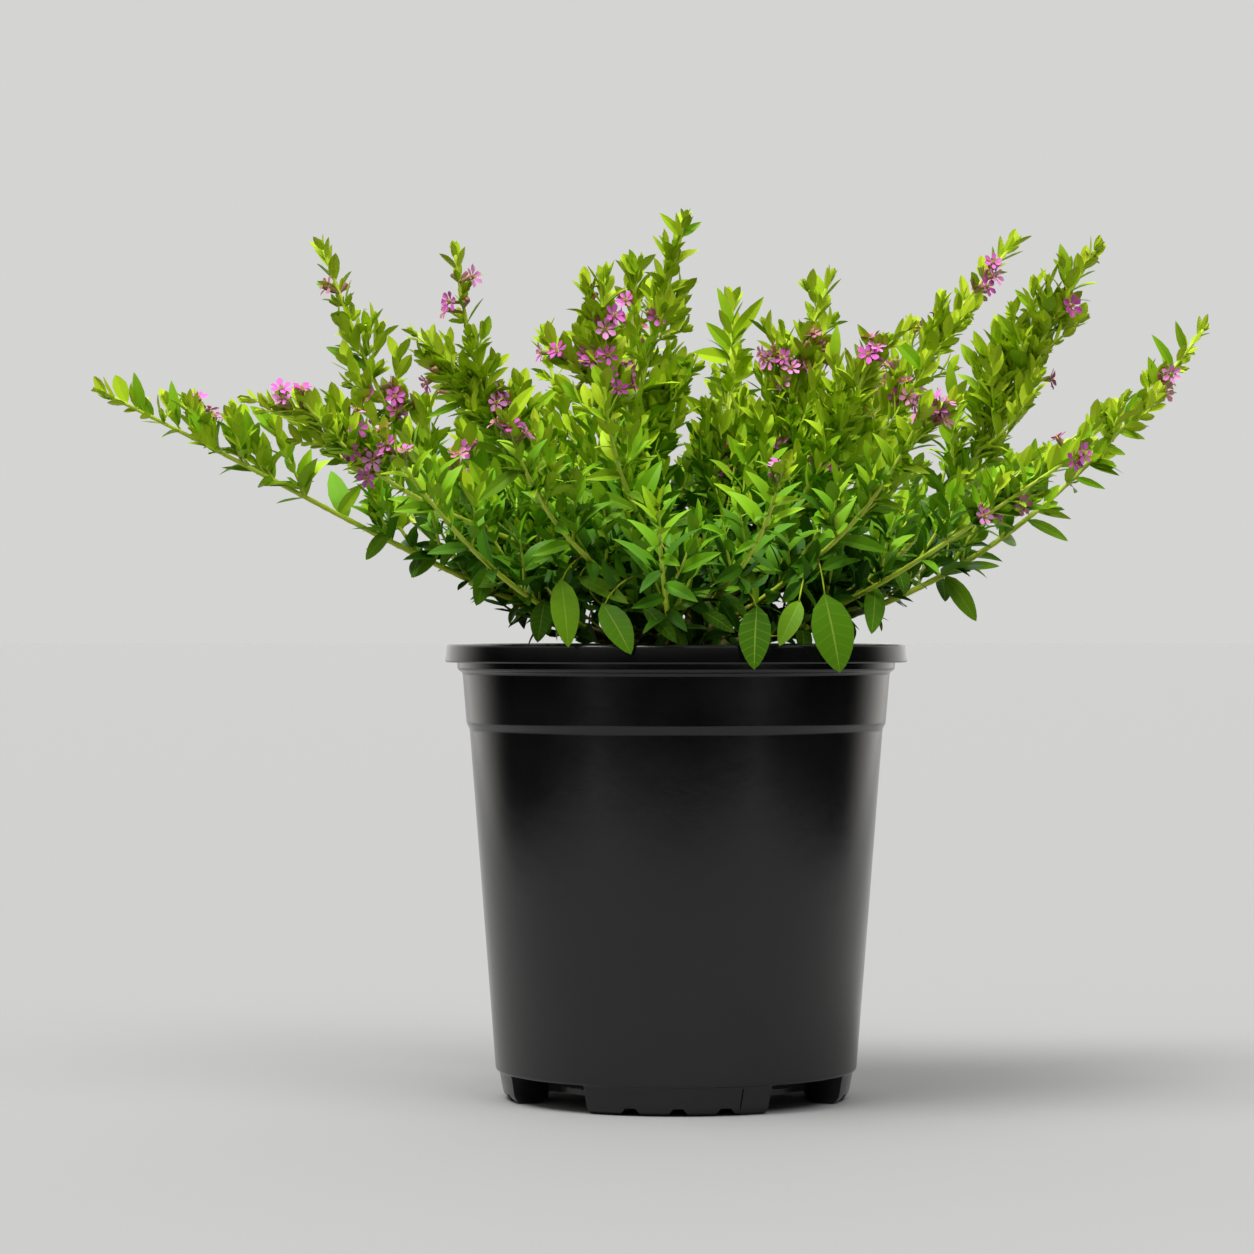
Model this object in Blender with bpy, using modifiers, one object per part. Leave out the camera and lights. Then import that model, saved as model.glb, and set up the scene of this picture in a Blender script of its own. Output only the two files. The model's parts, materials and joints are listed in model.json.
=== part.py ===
"""A cuphea in flower, standing in its black nursery pot.

Many shoots rise from one woody crown in the middle of the pot. Each shoot follows one
smooth curve from its foot on the crown to its tip. The first stretch of the curve is the bare stem.
The rest is a mass of foliage: the leader that runs on along the same curve, side twigs, pairs of
leaves and a few flowers, fused into one solid. Each mass keeps to the space that lies nearer to its
own curve than to any other.

The origin is on the ground under the middle of the pot, +Z is up, and the plant is seen from -Y.
"""
import math
import random

import bmesh
import bpy
import numpy as np
from mathutils import Matrix, Vector

MM = 0.001
CLEARANCE = 0.3 * MM

# Pot: rim, neck band, tapering body and foot ring, all turned round the Z axis
POT_SEGMENTS = 36
RIM_TOP = 165.0 * MM
RIM_RADIUS = 84.0 * MM
RIM_DEPTH = 6.6 * MM
RIM_ROUND = 1.0 * MM
BEAD_RADIUS = 79.5 * MM
BEAD_BOTTOM = 155.2 * MM
NECK_TOP_RADIUS = 77.7 * MM
NECK_FOOT_RADIUS = 76.2 * MM
NECK_FOOT = 136.2 * MM
BODY_TOP_RADIUS = 75.1 * MM
BODY_TOP = 134.2 * MM
BODY_FOOT_RADIUS = 65.6 * MM
BODY_FOOT = 10.9 * MM
WALL = 1.6 * MM
FLOOR_UNDERSIDE = 4.4 * MM
FLOOR_THICKNESS = 1.8 * MM

# Foot ring: four lugs left between four gaps, each lug with three notches in its underside
LUG_TOP = 10.0 * MM
LUG_TOP_RADIUS = 64.3 * MM
LUG_FOOT_RADIUS = 62.8 * MM
LUG_CHAMFER = 2.2 * MM
LUG_INNER_RADIUS = 50.0 * MM
LUG_WALL = 2.0 * MM
WIDE_LUG_HALF_ANGLE = 31.0
NARROW_LUG_HALF_ANGLE = 23.0
GAP_DRAFT = 1.0
NOTCH_PITCH = 16.7 * MM
NOTCH_DEPTH = 2.8 * MM
NOTCH_MOUTH = 7.7 * MM
NOTCH_CREST = 3.5 * MM
DRAIN_WIDTH = 11.0 * MM
DRAIN_HEIGHT = 2.4 * MM
DRAIN_BOTTOM = 6.7 * MM

# Potting mix: a flat seat under the crown, a gentle fall to the wall
MIX_SEAT_RADIUS = 27.0 * MM
MIX_SEAT_HEIGHT = 158.6 * MM
MIX_EDGE_HEIGHT = 157.0 * MM

# Woody crown: half an ellipsoid on a short flare
CROWN_SEGMENTS = 20
CROWN_RADIUS = 19.0 * MM
CROWN_RISE = 11.0 * MM
CROWN_CENTRE_HEIGHT = 163.0 * MM
CROWN_FLARE_RADIUS = 23.5 * MM
CROWN_FOOT = MIX_SEAT_HEIGHT + CLEARANCE
FOOT_SPACING = 6.6 * MM

# Shoots: tip in millimetres, then the angle above level at the foot and at the tip
SHOOTS = {
    "left_low": (-205, -68, 255, 34, 25),
    "left_flower": (-131, -95, 252, 32, 50),
    "left_tall": (-131, 15, 314, 27, 70),
    "left_mid": (-80, -25, 309, 34, 82),
    "left_back": (-95, 80, 285, 40, 62),
    "centre": (4, -10, 323, 66, 76),
    "centre_left": (-27, -55, 296, 58, 88),
    "centre_right": (22, 45, 298, 66, 80),
    "right_mid": (58, 5, 302, 46, 66),
    "right_tall": (129, 40, 317, 36, 48),
    "right_high": (151, -35, 309, 18, 58),
    "right_low": (205, 75, 288, 19, 50),
    "right_front_low": (138, -80, 231, 30, 30),
    "right_inner": (71, -45, 275, 36, 70),
    "right_back": (94, 85, 289, 36, 66),
    "left_centre_back": (-50, 60, 286, 50, 78),
    "front_mid": (34, -150, 227, 30, 46),
    "front_left": (-59, -120, 244, 34, 60),
    "front_centre": (-26, -108, 257, 44, 74),
    "front_right": (84, -105, 248, 30, 58),
    "front_low_left": (-101, -120, 237, 26, 45),
    "front_low": (-8, -165, 212, 24, 34),
    "back_left": (-70, 150, 262, 30, 50),
    "back": (10, 165, 250, 26, 45),
    "back_right": (95, 140, 262, 28, 50),
    "back_left_low": (-150, 110, 254, 34, 30),
    "back_right_low": (158, 118, 248, 30, 42),
    "back_mid": (24, 98, 292, 48, 70),
    "centre_behind": (-17, 34, 309, 74, 84),
}
# Shoots whose foot doesn't face the tip: the compass angle of the foot, from +X towards +Y
FOOT_COMPASS = {"centre": 185, "centre_left": -130, "centre_right": 20, "right_mid": 0}
# A shoot in leaf from the crown up, with no bare stem
LEAFY_FROM_CROWN = "centre_behind"
FOOT_PULL = 0.36
TIP_PULL = 0.42
PATH_STEP = 1.0 * MM

# Limbs: radius at the foot and at the tip, and how much of a shoot is bare
FOOT_RADIUS = 1.15 * MM
FOOT_RADIUS_PER_LENGTH = 0.003
TIP_RADIUS = 0.62 * MM
BARE_SHARE_LOW = 0.20
BARE_SHARE_UPRIGHT = 0.13
LIMB_STEP = 20.0 * MM

# Foliage: each mass keeps a margin to its neighbours' space and to bare limbs
SEED = 41
SPACE_MARGIN = 0.8 * MM
LIMB_MARGIN = 1.0 * MM
POT_MARGIN = 1.2 * MM

# Nodes along a leader. Age runs from 1 at its first node to 0 at its tip
FIRST_NODE = 5.0 * MM
NODE_STEP = 32.0 * MM
OLD_NODE_CROWDING = 0.62
TIP_NODE_CROWDING = 0.7
LEADER_SHORT_OF_TIP = 7.0 * MM
OLD_AGE = 0.76
OLD_SPREAD = 70.0
OLD_SAG = 0.35
YOUNG_SPREAD = 38.0
SPREAD_WITH_AGE = 22.0

# Side twigs: two straight lengths with a bend, tried shorter and shorter until one fits
TWIG_AGE = 0.16
TWIG_LONGEST = 36.0 * MM
TWIG_SHARE = 0.30
TWIG_BASE = 6.0 * MM
TWIG_SHORTEST = 12.0 * MM
TWIG_RADIUS = 0.75 * MM
TWIG_BEND = 0.45
TWIG_TRIES = (1.0, 0.8, 0.62, 0.48)
# How far the two lengths lean along the leader, away from it and up
TWIG_FIRST_LEAN = (0.72, 0.75, 0.15)
TWIG_LAST_LEAN = (0.80, 0.25, 0.55)

# Leaves
LEAF_TIP_LENGTH = 14.0 * MM
LEAF_MID_LENGTH = 22.0 * MM
LEAF_OLD_LENGTH = 26.0 * MM
LEAF_BUD_LENGTH = 8.5 * MM
LEAF_WIDTH_SHARE = 0.44
LEAF_WIDEST = 0.42
LEAF_RISE = 0.35 * MM
LEAF_ROOT = 0.1 * MM

# Flowers
FLOWER_RADIUS = 5.2 * MM
FLOWER_WAIST = 2.3 * MM
FLOWER_TUBE = 7.0 * MM
FLOWER_CUP = 0.8 * MM
FLOWER_AGE = 0.62
FLOWER_LEAN = (0.35, 0.80, 0.25)
FLOWERS_IN_MASS = 1

UP = Vector((0.0, 0.0, 1.0))


def clear_scene():
    for item in list(bpy.data.objects):
        bpy.data.objects.remove(item, do_unlink=True)


def new_collection(name):
    group = bpy.data.collections.new(name)
    bpy.context.scene.collection.children.link(group)
    return group


def principled(name, colour, roughness):
    material = bpy.data.materials.new(name)
    material.use_nodes = True
    shader = material.node_tree.nodes["Principled BSDF"]
    shader.inputs["Base Color"].default_value = (*colour, 1.0)
    shader.inputs["Roughness"].default_value = roughness
    shader.inputs["Metallic"].default_value = 0.0
    return material


def add_object(name, mesh, group, material=None):
    item = bpy.data.objects.new(name, mesh)
    group.objects.link(item)
    if material is not None:
        mesh.materials.append(material)
    return item


def mesh_from_bmesh(name, shape):
    mesh = bpy.data.meshes.new(name)
    shape.to_mesh(mesh)
    shape.free()
    return mesh


def evaluated_mesh(item):
    bpy.context.view_layer.update()
    view = bpy.context.evaluated_depsgraph_get()
    return bpy.data.meshes.new_from_object(item.evaluated_get(view))


# Turned shapes


def turned(name, profile, segments, group, material):
    """Turn a profile of (radius, height) points, which runs down its outer side, round the Z axis."""
    shape = bmesh.new()
    corners = [shape.verts.new((radius, 0.0, height)) for radius, height in profile]
    for start, end in zip(corners, corners[1:]):
        shape.edges.new((start, end))
    item = add_object(name, mesh_from_bmesh(name, shape), group, material)
    screw = item.modifiers.new("Turn", "SCREW")
    screw.steps = segments
    screw.render_steps = segments
    screw.use_merge_vertices = True
    screw.merge_threshold = 0.00001
    return item


def quarter(centre_radius, centre_height, radius, start, end, count=2):
    """Points on an arc, by angle in degrees from outward towards up."""
    points = []
    for step in range(count + 1):
        angle = math.radians(start + (end - start) * step / count)
        points.append((centre_radius + radius * math.cos(angle), centre_height + radius * math.sin(angle)))
    return points


def wall_inside(gap):
    """The inner side of the pot's floor and wall, from the middle of the floor to the neck."""
    floor_top = FLOOR_UNDERSIDE + FLOOR_THICKNESS + gap
    ledge_top = LUG_TOP + FLOOR_THICKNESS + 0.6 * MM + gap
    well_radius = LUG_INNER_RADIUS - LUG_WALL - gap
    inset = WALL + gap
    return [
        (0.0, floor_top),
        (well_radius, floor_top),
        (well_radius, ledge_top),
        (BODY_FOOT_RADIUS - inset, ledge_top),
        (BODY_TOP_RADIUS - inset, BODY_TOP),
        (NECK_FOOT_RADIUS - inset, NECK_FOOT + WALL / 2),
    ]


def build_pot(group, cutters, material):
    rim_foot = RIM_TOP - RIM_DEPTH
    inner_rim = NECK_TOP_RADIUS - WALL
    profile = wall_inside(0.0)
    profile += [(inner_rim, BEAD_BOTTOM)]
    profile += [(inner_rim, RIM_TOP - RIM_ROUND), (inner_rim + RIM_ROUND, RIM_TOP)]
    profile += quarter(RIM_RADIUS - RIM_ROUND * 1.4, RIM_TOP - RIM_ROUND, RIM_ROUND, 90, 0)
    profile += [(RIM_RADIUS, rim_foot + RIM_ROUND / 2), (RIM_RADIUS - RIM_ROUND / 2, rim_foot)]
    profile += [(BEAD_RADIUS, rim_foot), (BEAD_RADIUS, BEAD_BOTTOM + 0.4 * MM)]
    profile += [(NECK_TOP_RADIUS, BEAD_BOTTOM - 0.6 * MM), (NECK_FOOT_RADIUS, NECK_FOOT)]
    profile += [(BODY_TOP_RADIUS, BODY_TOP), (BODY_FOOT_RADIUS, BODY_FOOT)]
    profile += [(LUG_TOP_RADIUS, LUG_TOP), (LUG_FOOT_RADIUS, LUG_CHAMFER)]
    profile += [(LUG_FOOT_RADIUS - LUG_CHAMFER, 0.0), (LUG_INNER_RADIUS, 0.0)]
    profile += [(LUG_INNER_RADIUS, FLOOR_UNDERSIDE), (0.0, FLOOR_UNDERSIDE)]
    pot = turned("pot", profile, POT_SEGMENTS, group, material)
    for side in range(4):
        add_gap_cutter(side, cutters)
        add_drain_cutter(side, cutters)
        for place in (-1, 0, 1):
            add_notch_cutter(side, place, cutters)
    cut = pot.modifiers.new("Foot ring gaps and notches", "BOOLEAN")
    cut.operation = "DIFFERENCE"
    cut.operand_type = "COLLECTION"
    cut.collection = cutters
    cut.solver = "EXACT"


def add_cutter(name, shape, cutters):
    item = add_object(name, mesh_from_bmesh(name, shape), cutters)
    item.hide_render = True
    item.display_type = "WIRE"


def gap_middle(side):
    """Compass angle of the gap that follows lug number `side`, where lug 0 faces -Y."""
    spread = (90.0 + WIDE_LUG_HALF_ANGLE - NARROW_LUG_HALF_ANGLE) / 2
    turn = {0: -90.0 + spread, 1: 90.0 - spread, 2: 90.0 + spread, 3: -90.0 - spread}
    return turn[side]


def add_gap_cutter(side, cutters):
    """A wedge between two lugs, wider at its mouth on the ground, up to the underside of the body."""
    half = (90.0 - WIDE_LUG_HALF_ANGLE - NARROW_LUG_HALF_ANGLE) / 2
    shape = bmesh.new()
    bmesh.ops.create_cube(shape, size=2.0)
    for corner in shape.verts:
        angle = gap_middle(side) + math.copysign(half, corner.co.y)
        if corner.co.z < 0:
            angle += math.copysign(GAP_DRAFT, corner.co.y)
        reach = RIM_RADIUS if corner.co.x > 0 else LUG_INNER_RADIUS
        height = LUG_TOP + 0.3 * MM if corner.co.z > 0 else -5.0 * MM
        angle = math.radians(angle)
        corner.co = (reach * math.cos(angle), reach * math.sin(angle), height)
    add_cutter(f"gap_cutter_{side}", shape, cutters)


def add_drain_cutter(side, cutters):
    """A slot through the upright wall at the back of a gap."""
    size = Matrix.Diagonal((LUG_WALL * 5, DRAIN_WIDTH, DRAIN_HEIGHT, 1.0))
    place = Matrix.Translation((LUG_INNER_RADIUS, 0.0, DRAIN_BOTTOM + DRAIN_HEIGHT / 2))
    turn = Matrix.Rotation(math.radians(gap_middle(side)), 4, "Z")
    shape = bmesh.new()
    bmesh.ops.create_cube(shape, size=1.0, matrix=turn @ place @ size)
    add_cutter(f"drain_cutter_{side}", shape, cutters)


def add_notch_cutter(side, place, cutters):
    """A notch that runs through a lug from front to back, wider at its mouth."""
    shape = bmesh.new()
    bmesh.ops.create_cube(shape, size=2.0)
    for corner in shape.verts:
        half = NOTCH_CREST / 2 if corner.co.z > 0 else NOTCH_MOUTH / 2 + 0.15 * MM
        height = NOTCH_DEPTH if corner.co.z > 0 else -0.2 * MM
        reach = RIM_RADIUS if corner.co.x > 0 else LUG_INNER_RADIUS / 2
        corner.co = (reach, place * NOTCH_PITCH + math.copysign(half, corner.co.y), height)
    turn = Matrix.Rotation(math.radians(-90.0 + 90.0 * side), 4, "Z")
    bmesh.ops.transform(shape, matrix=turn, verts=shape.verts)
    add_cutter(f"notch_cutter_{side}_{place + 1}", shape, cutters)


def build_mix(group, material):
    edge_radius = NECK_TOP_RADIUS - WALL - CLEARANCE - 0.1 * MM
    profile = [(0.0, MIX_SEAT_HEIGHT), (MIX_SEAT_RADIUS, MIX_SEAT_HEIGHT)]
    profile += [(edge_radius, MIX_EDGE_HEIGHT)]
    profile += list(reversed(wall_inside(CLEARANCE * 1.05)))
    turned("potting_mix", profile, POT_SEGMENTS, group, material)


def build_crown(group, material):
    profile = []
    for step in range(6):
        angle = math.radians(90.0 - 18.0 * step)
        height = CROWN_CENTRE_HEIGHT + CROWN_RISE * math.sin(angle)
        profile.append((max(CROWN_RADIUS * math.cos(angle), 0.0), height))
    profile[0] = (0.0, profile[0][1])
    profile += [(CROWN_RADIUS + 1.2 * MM, CROWN_CENTRE_HEIGHT - 2.4 * MM)]
    profile += [(CROWN_FLARE_RADIUS, CROWN_FOOT), (0.0, CROWN_FOOT)]
    turned("root_crown", profile, CROWN_SEGMENTS, group, material)


# Shoots


def compass_direction(compass, rise):
    """A unit direction by compass angle from +X towards +Y and angle above level, in degrees."""
    compass = math.radians(compass)
    rise = math.radians(rise)
    level = math.cos(rise)
    return Vector((level * math.cos(compass), level * math.sin(compass), math.sin(rise)))


def crown_point(direction):
    """The point of the crown's ellipsoid, from its middle, whose surface faces a direction."""
    wide = CROWN_RADIUS ** 2
    high = CROWN_RISE ** 2
    along = Vector((wide * direction.x, wide * direction.y, high * direction.z))
    return along / math.sqrt(along.dot(direction))


def crown_facing(point):
    """The direction that the crown's surface faces at one of its points."""
    wide = CROWN_RADIUS ** 2
    return Vector((point.x / wide, point.y / wide, point.z / CROWN_RISE ** 2)).normalized()


def settle_feet(feet):
    """Slide the feet apart over the crown until each has room round it."""
    for _ in range(400):
        moves = [Vector() for _ in feet]
        crowded = 0.0
        for first in range(len(feet)):
            for second in range(first):
                apart = feet[first] - feet[second]
                short = FOOT_SPACING - apart.length
                if short > 0:
                    crowded = max(crowded, short)
                    push = apart.normalized() * short * 0.3
                    moves[first] += push
                    moves[second] -= push
        if crowded < 0.05 * MM:
            break
        for index, move in enumerate(moves):
            foot = feet[index] + move
            foot.z = max(foot.z, 1.0 * MM)
            size = math.hypot(foot.x, foot.y) / CROWN_RADIUS
            feet[index] = foot / math.hypot(size, foot.z / CROWN_RISE)
    return feet


def bezier(start, start_handle, end_handle, end, share):
    left = 1.0 - share
    inner = start_handle * (3 * left * left * share) + end_handle * (3 * left * share * share)
    return start * left ** 3 + inner + end * share ** 3


class Shoot:
    """One curve from the crown to a tip, with its bare stretch and its taper."""

    def __init__(self, name, number, foot):
        x, y, z, _, tip_rise = SHOOTS[name]
        self.name = name
        self.number = number
        facing = crown_facing(foot)
        start = Vector((0.0, 0.0, CROWN_CENTRE_HEIGHT)) + foot + facing * CLEARANCE
        tip = Vector((x, y, z)) * MM
        chord = (tip - start).length
        arrival = compass_direction(math.degrees(math.atan2(tip.y - start.y, tip.x - start.x)), tip_rise)
        handles = (start + facing * chord * FOOT_PULL, tip - arrival * chord * TIP_PULL)
        fine = [bezier(start, *handles, tip, step / 400) for step in range(401)]
        reach = [0.0]
        for before, after in zip(fine, fine[1:]):
            reach.append(reach[-1] + (after - before).length)
        self.length = reach[-1]
        count = int(self.length / PATH_STEP)
        even = np.linspace(0.0, self.length, count + 1)
        table = np.array([tuple(point) for point in fine])
        self.points = np.stack([np.interp(even, reach, table[:, axis]) for axis in range(3)], axis=1)
        level = math.hypot(tip.x, tip.y) / (tip - Vector((0.0, 0.0, CROWN_CENTRE_HEIGHT))).length
        self.bare = self.length * (BARE_SHARE_UPRIGHT + (BARE_SHARE_LOW - BARE_SHARE_UPRIGHT) * level ** 3)
        if name == LEAFY_FROM_CROWN:
            self.bare = 0.0
        self.foot_radius = FOOT_RADIUS + FOOT_RADIUS_PER_LENGTH * self.length

    def at(self, distance):
        place = min(max(distance / self.length, 0.0), 1.0) * (len(self.points) - 1)
        before = min(int(place), len(self.points) - 2)
        share = place - before
        return Vector(self.points[before] * (1 - share) + self.points[before + 1] * share)

    def heading(self, distance):
        return (self.at(distance + 2 * MM) - self.at(distance - 2 * MM)).normalized()

    def radius(self, distance):
        share = min(max(distance / self.length, 0.0), 1.0)
        return self.foot_radius + (TIP_RADIUS - self.foot_radius) * share ** 0.8

    def bare_points(self):
        return self.points[: int(self.bare / PATH_STEP) + 1]


def make_shoots():
    feet = []
    for name, (x, y, _, foot_rise, _) in SHOOTS.items():
        compass = FOOT_COMPASS.get(name, math.degrees(math.atan2(y, x)))
        feet.append(crown_point(compass_direction(compass, foot_rise)))
    feet = settle_feet(feet)
    return [Shoot(name, number, feet[number]) for number, name in enumerate(SHOOTS)]


# Own space


def nearest(points, cloud):
    """Distance from each point to the nearest point of a cloud."""
    apart = np.linalg.norm(points[:, None, :] - cloud[None, :, :], axis=2)
    return apart.min(axis=1)


def clear_of_pot(points):
    """Whether every point is above the rim, outside it, or inside the neck above the mix."""
    radius = np.hypot(points[:, 0], points[:, 1])
    above = points[:, 2] > RIM_TOP + POT_MARGIN
    outside = radius > RIM_RADIUS + POT_MARGIN
    inside = (radius < NECK_TOP_RADIUS - WALL - POT_MARGIN) & (points[:, 2] > MIX_SEAT_HEIGHT + POT_MARGIN)
    return bool(np.all(above | outside | inside))


def clear_of_crown(points):
    level = np.hypot(points[:, 0], points[:, 1]) / (CROWN_RADIUS + POT_MARGIN)
    rise = (points[:, 2] - CROWN_CENTRE_HEIGHT) / (CROWN_RISE + POT_MARGIN)
    return bool(np.all(np.hypot(level, rise) > 1.0))


class Space:
    """The room that belongs to one shoot: what lies nearer to it than to its neighbours."""

    def __init__(self, shoot, shoots):
        self.own = shoot.points[::2]
        self.others = np.concatenate([other.points[::2] for other in shoots if other is not shoot])
        self.bare = shoot.bare_points()
        self.bare_radius = shoot.foot_radius
        tips = np.array([other.points[-1] for other in shoots])
        self.low = tips.min(axis=0) - 0.5 * MM
        self.high = tips.max(axis=0) + 0.5 * MM

    def holds(self, points):
        points = np.array([tuple(point) for point in points])
        if np.any(points[:, :2] < self.low[:2]) or np.any(points > self.high):
            return False
        if not clear_of_pot(points) or not clear_of_crown(points):
            return False
        if nearest(points, self.bare).min() < self.bare_radius + LIMB_MARGIN:
            return False
        return bool(np.all(nearest(points, self.own) + SPACE_MARGIN < nearest(points, self.others)))


# Limbs


def tube(name, points, radii, group, profile=None):
    """A tapering tube: six-sided, or with the section of a profile curve."""
    curve = bpy.data.curves.new(name, "CURVE")
    curve.dimensions = "3D"
    curve.use_fill_caps = True
    if profile is None:
        curve.bevel_depth = 1.0
        curve.bevel_resolution = 1
    else:
        curve.bevel_mode = "OBJECT"
        curve.bevel_object = profile
    line = curve.splines.new("POLY")
    line.points.add(len(points) - 1)
    for knot, point, radius in zip(line.points, points, radii):
        knot.co = (*point, 1.0)
        knot.radius = radius
    carrier = bpy.data.objects.new(name, curve)
    group.objects.link(carrier)
    mesh = evaluated_mesh(carrier)
    bpy.data.objects.remove(carrier, do_unlink=True)
    bpy.data.curves.remove(curve)
    shape = bmesh.new()
    shape.from_mesh(mesh)
    bmesh.ops.remove_doubles(shape, verts=shape.verts, dist=0.00001)
    bmesh.ops.recalc_face_normals(shape, faces=shape.faces)
    shape.to_mesh(mesh)
    shape.free()
    mesh.name = name
    return add_object(name, mesh, group)


def section_curve(name, sides, group):
    """A closed curve of unit radius that gives the twigs their section."""
    curve = bpy.data.curves.new(name, "CURVE")
    line = curve.splines.new("POLY")
    line.points.add(sides - 1)
    for number, knot in enumerate(line.points):
        angle = 2 * math.pi * number / sides
        knot.co = (math.cos(angle), math.sin(angle), 0.0, 1.0)
    line.use_cyclic_u = True
    item = bpy.data.objects.new(name, curve)
    item.hide_render = True
    item.display_type = "WIRE"
    group.objects.link(item)
    return item


def stretch_places(start, end, step):
    count = max(2, math.ceil((end - start) / step))
    return [start + (end - start) * number / count for number in range(count + 1)]


def build_stem(shoot, group, material):
    places = stretch_places(0.0, shoot.bare, LIMB_STEP)
    points = [shoot.at(place) for place in places]
    radii = [shoot.radius(place) for place in places]
    stem = tube(f"stem_{shoot.name}", points, radii, group)
    stem.data.materials.append(material)
    stem.data.shade_smooth()


# Leaves and flowers


def frame_from(root, along, across):
    """A matrix with Y along a leaf, X across it and Z out of its upper face."""
    along = along.normalized()
    face = across.cross(along).normalized()
    across = along.cross(face)
    turn = Matrix((across, along, face)).transposed().to_4x4()
    return Matrix.Translation(root) @ turn


def leaf_points(length, width, droop):
    """Corners of a leaf that bends back at its widest line: root, apex and the two edges."""
    widest = LEAF_WIDEST * length
    return {
        "root": Vector((0.0, -LEAF_ROOT, 0.0)),
        "apex": Vector((0.0, length, -droop * length)),
        "left": Vector((-width / 2, widest, LEAF_RISE)),
        "right": Vector((width / 2, widest, LEAF_RISE)),
    }


def add_leaf(name, frame, length, width, droop, group):
    """A thin four-faced blade with its root corner sunk in its twig."""
    corners = leaf_points(length, width, droop)
    shape = bmesh.new()
    bmesh.ops.create_cone(shape, cap_ends=True, segments=3, radius1=1.0, radius2=0.0, depth=1.0)
    for corner, place in zip(shape.verts, ("left", "right", "root", "apex")):
        corner.co = corners[place]
    bmesh.ops.transform(shape, matrix=frame, verts=shape.verts)
    bmesh.ops.recalc_face_normals(shape, faces=shape.faces)
    return add_object(name, mesh_from_bmesh(name, shape), group)


def leaf_samples(frame, length, width, droop):
    """Points that a leaf must keep inside its own space."""
    corners = leaf_points(length, width, droop)
    root, apex = Vector((0.0, 0.0, 0.0)), corners["apex"]
    middle = (corners["left"] + corners["right"]) / 2
    samples = [apex, corners["left"], corners["right"], middle, middle * 0.6, (middle + apex) / 2]
    for edge in ("left", "right"):
        samples += [corners[edge] * 0.5 + root * 0.5, corners[edge] * 0.5 + apex * 0.5]
    return [frame @ sample for sample in samples]


def star_point(number, count=12):
    """Point of a six-petalled star, square to the flower's tube."""
    reach = FLOWER_RADIUS if number % 2 == 0 else FLOWER_WAIST
    angle = 2 * math.pi * number / count
    return Vector((reach * math.cos(angle), FLOWER_TUBE, reach * math.sin(angle)))


def add_flower(name, frame, group):
    """A six-petalled star on a tapering tube whose end is sunk in the twig."""
    shape = bmesh.new()
    bmesh.ops.create_cone(shape, cap_ends=True, cap_tris=True, segments=12, radius1=1, radius2=0, depth=1)
    middles = [corner for corner in shape.verts if corner.co.to_2d().length < 0.5]
    rim = [corner for corner in shape.verts if corner not in middles]
    rim.sort(key=lambda corner: math.atan2(corner.co.y, corner.co.x))
    for corner in middles:
        corner.co = (0.0, -LEAF_ROOT if corner.co.z > 0 else FLOWER_TUBE - FLOWER_CUP, 0.0)
    for number, corner in enumerate(rim):
        corner.co = star_point(number)
    bmesh.ops.transform(shape, matrix=frame, verts=shape.verts)
    bmesh.ops.recalc_face_normals(shape, faces=shape.faces)
    return add_object(name, mesh_from_bmesh(name, shape), group)


def flower_samples(frame):
    middle = Vector((0.0, FLOWER_TUBE, 0.0))
    samples = [middle * 0.5, middle] + [star_point(number) for number in range(0, 12, 2)]
    return [frame @ sample for sample in samples]


# Growth rule


def sideways(heading, turn):
    """A direction square to a heading, turned round it from the one nearest to level."""
    level = heading.cross(UP)
    if level.length < 0.05:
        level = Vector((1.0, 0.0, 0.0))
    return Matrix.Rotation(math.radians(turn), 3, heading) @ level.normalized()


def lean(heading, outward, shares):
    """A direction made of shares of a heading, of a direction away from it, and of up."""
    return (heading * shares[0] + outward * shares[1] + UP * shares[2]).normalized()


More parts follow.
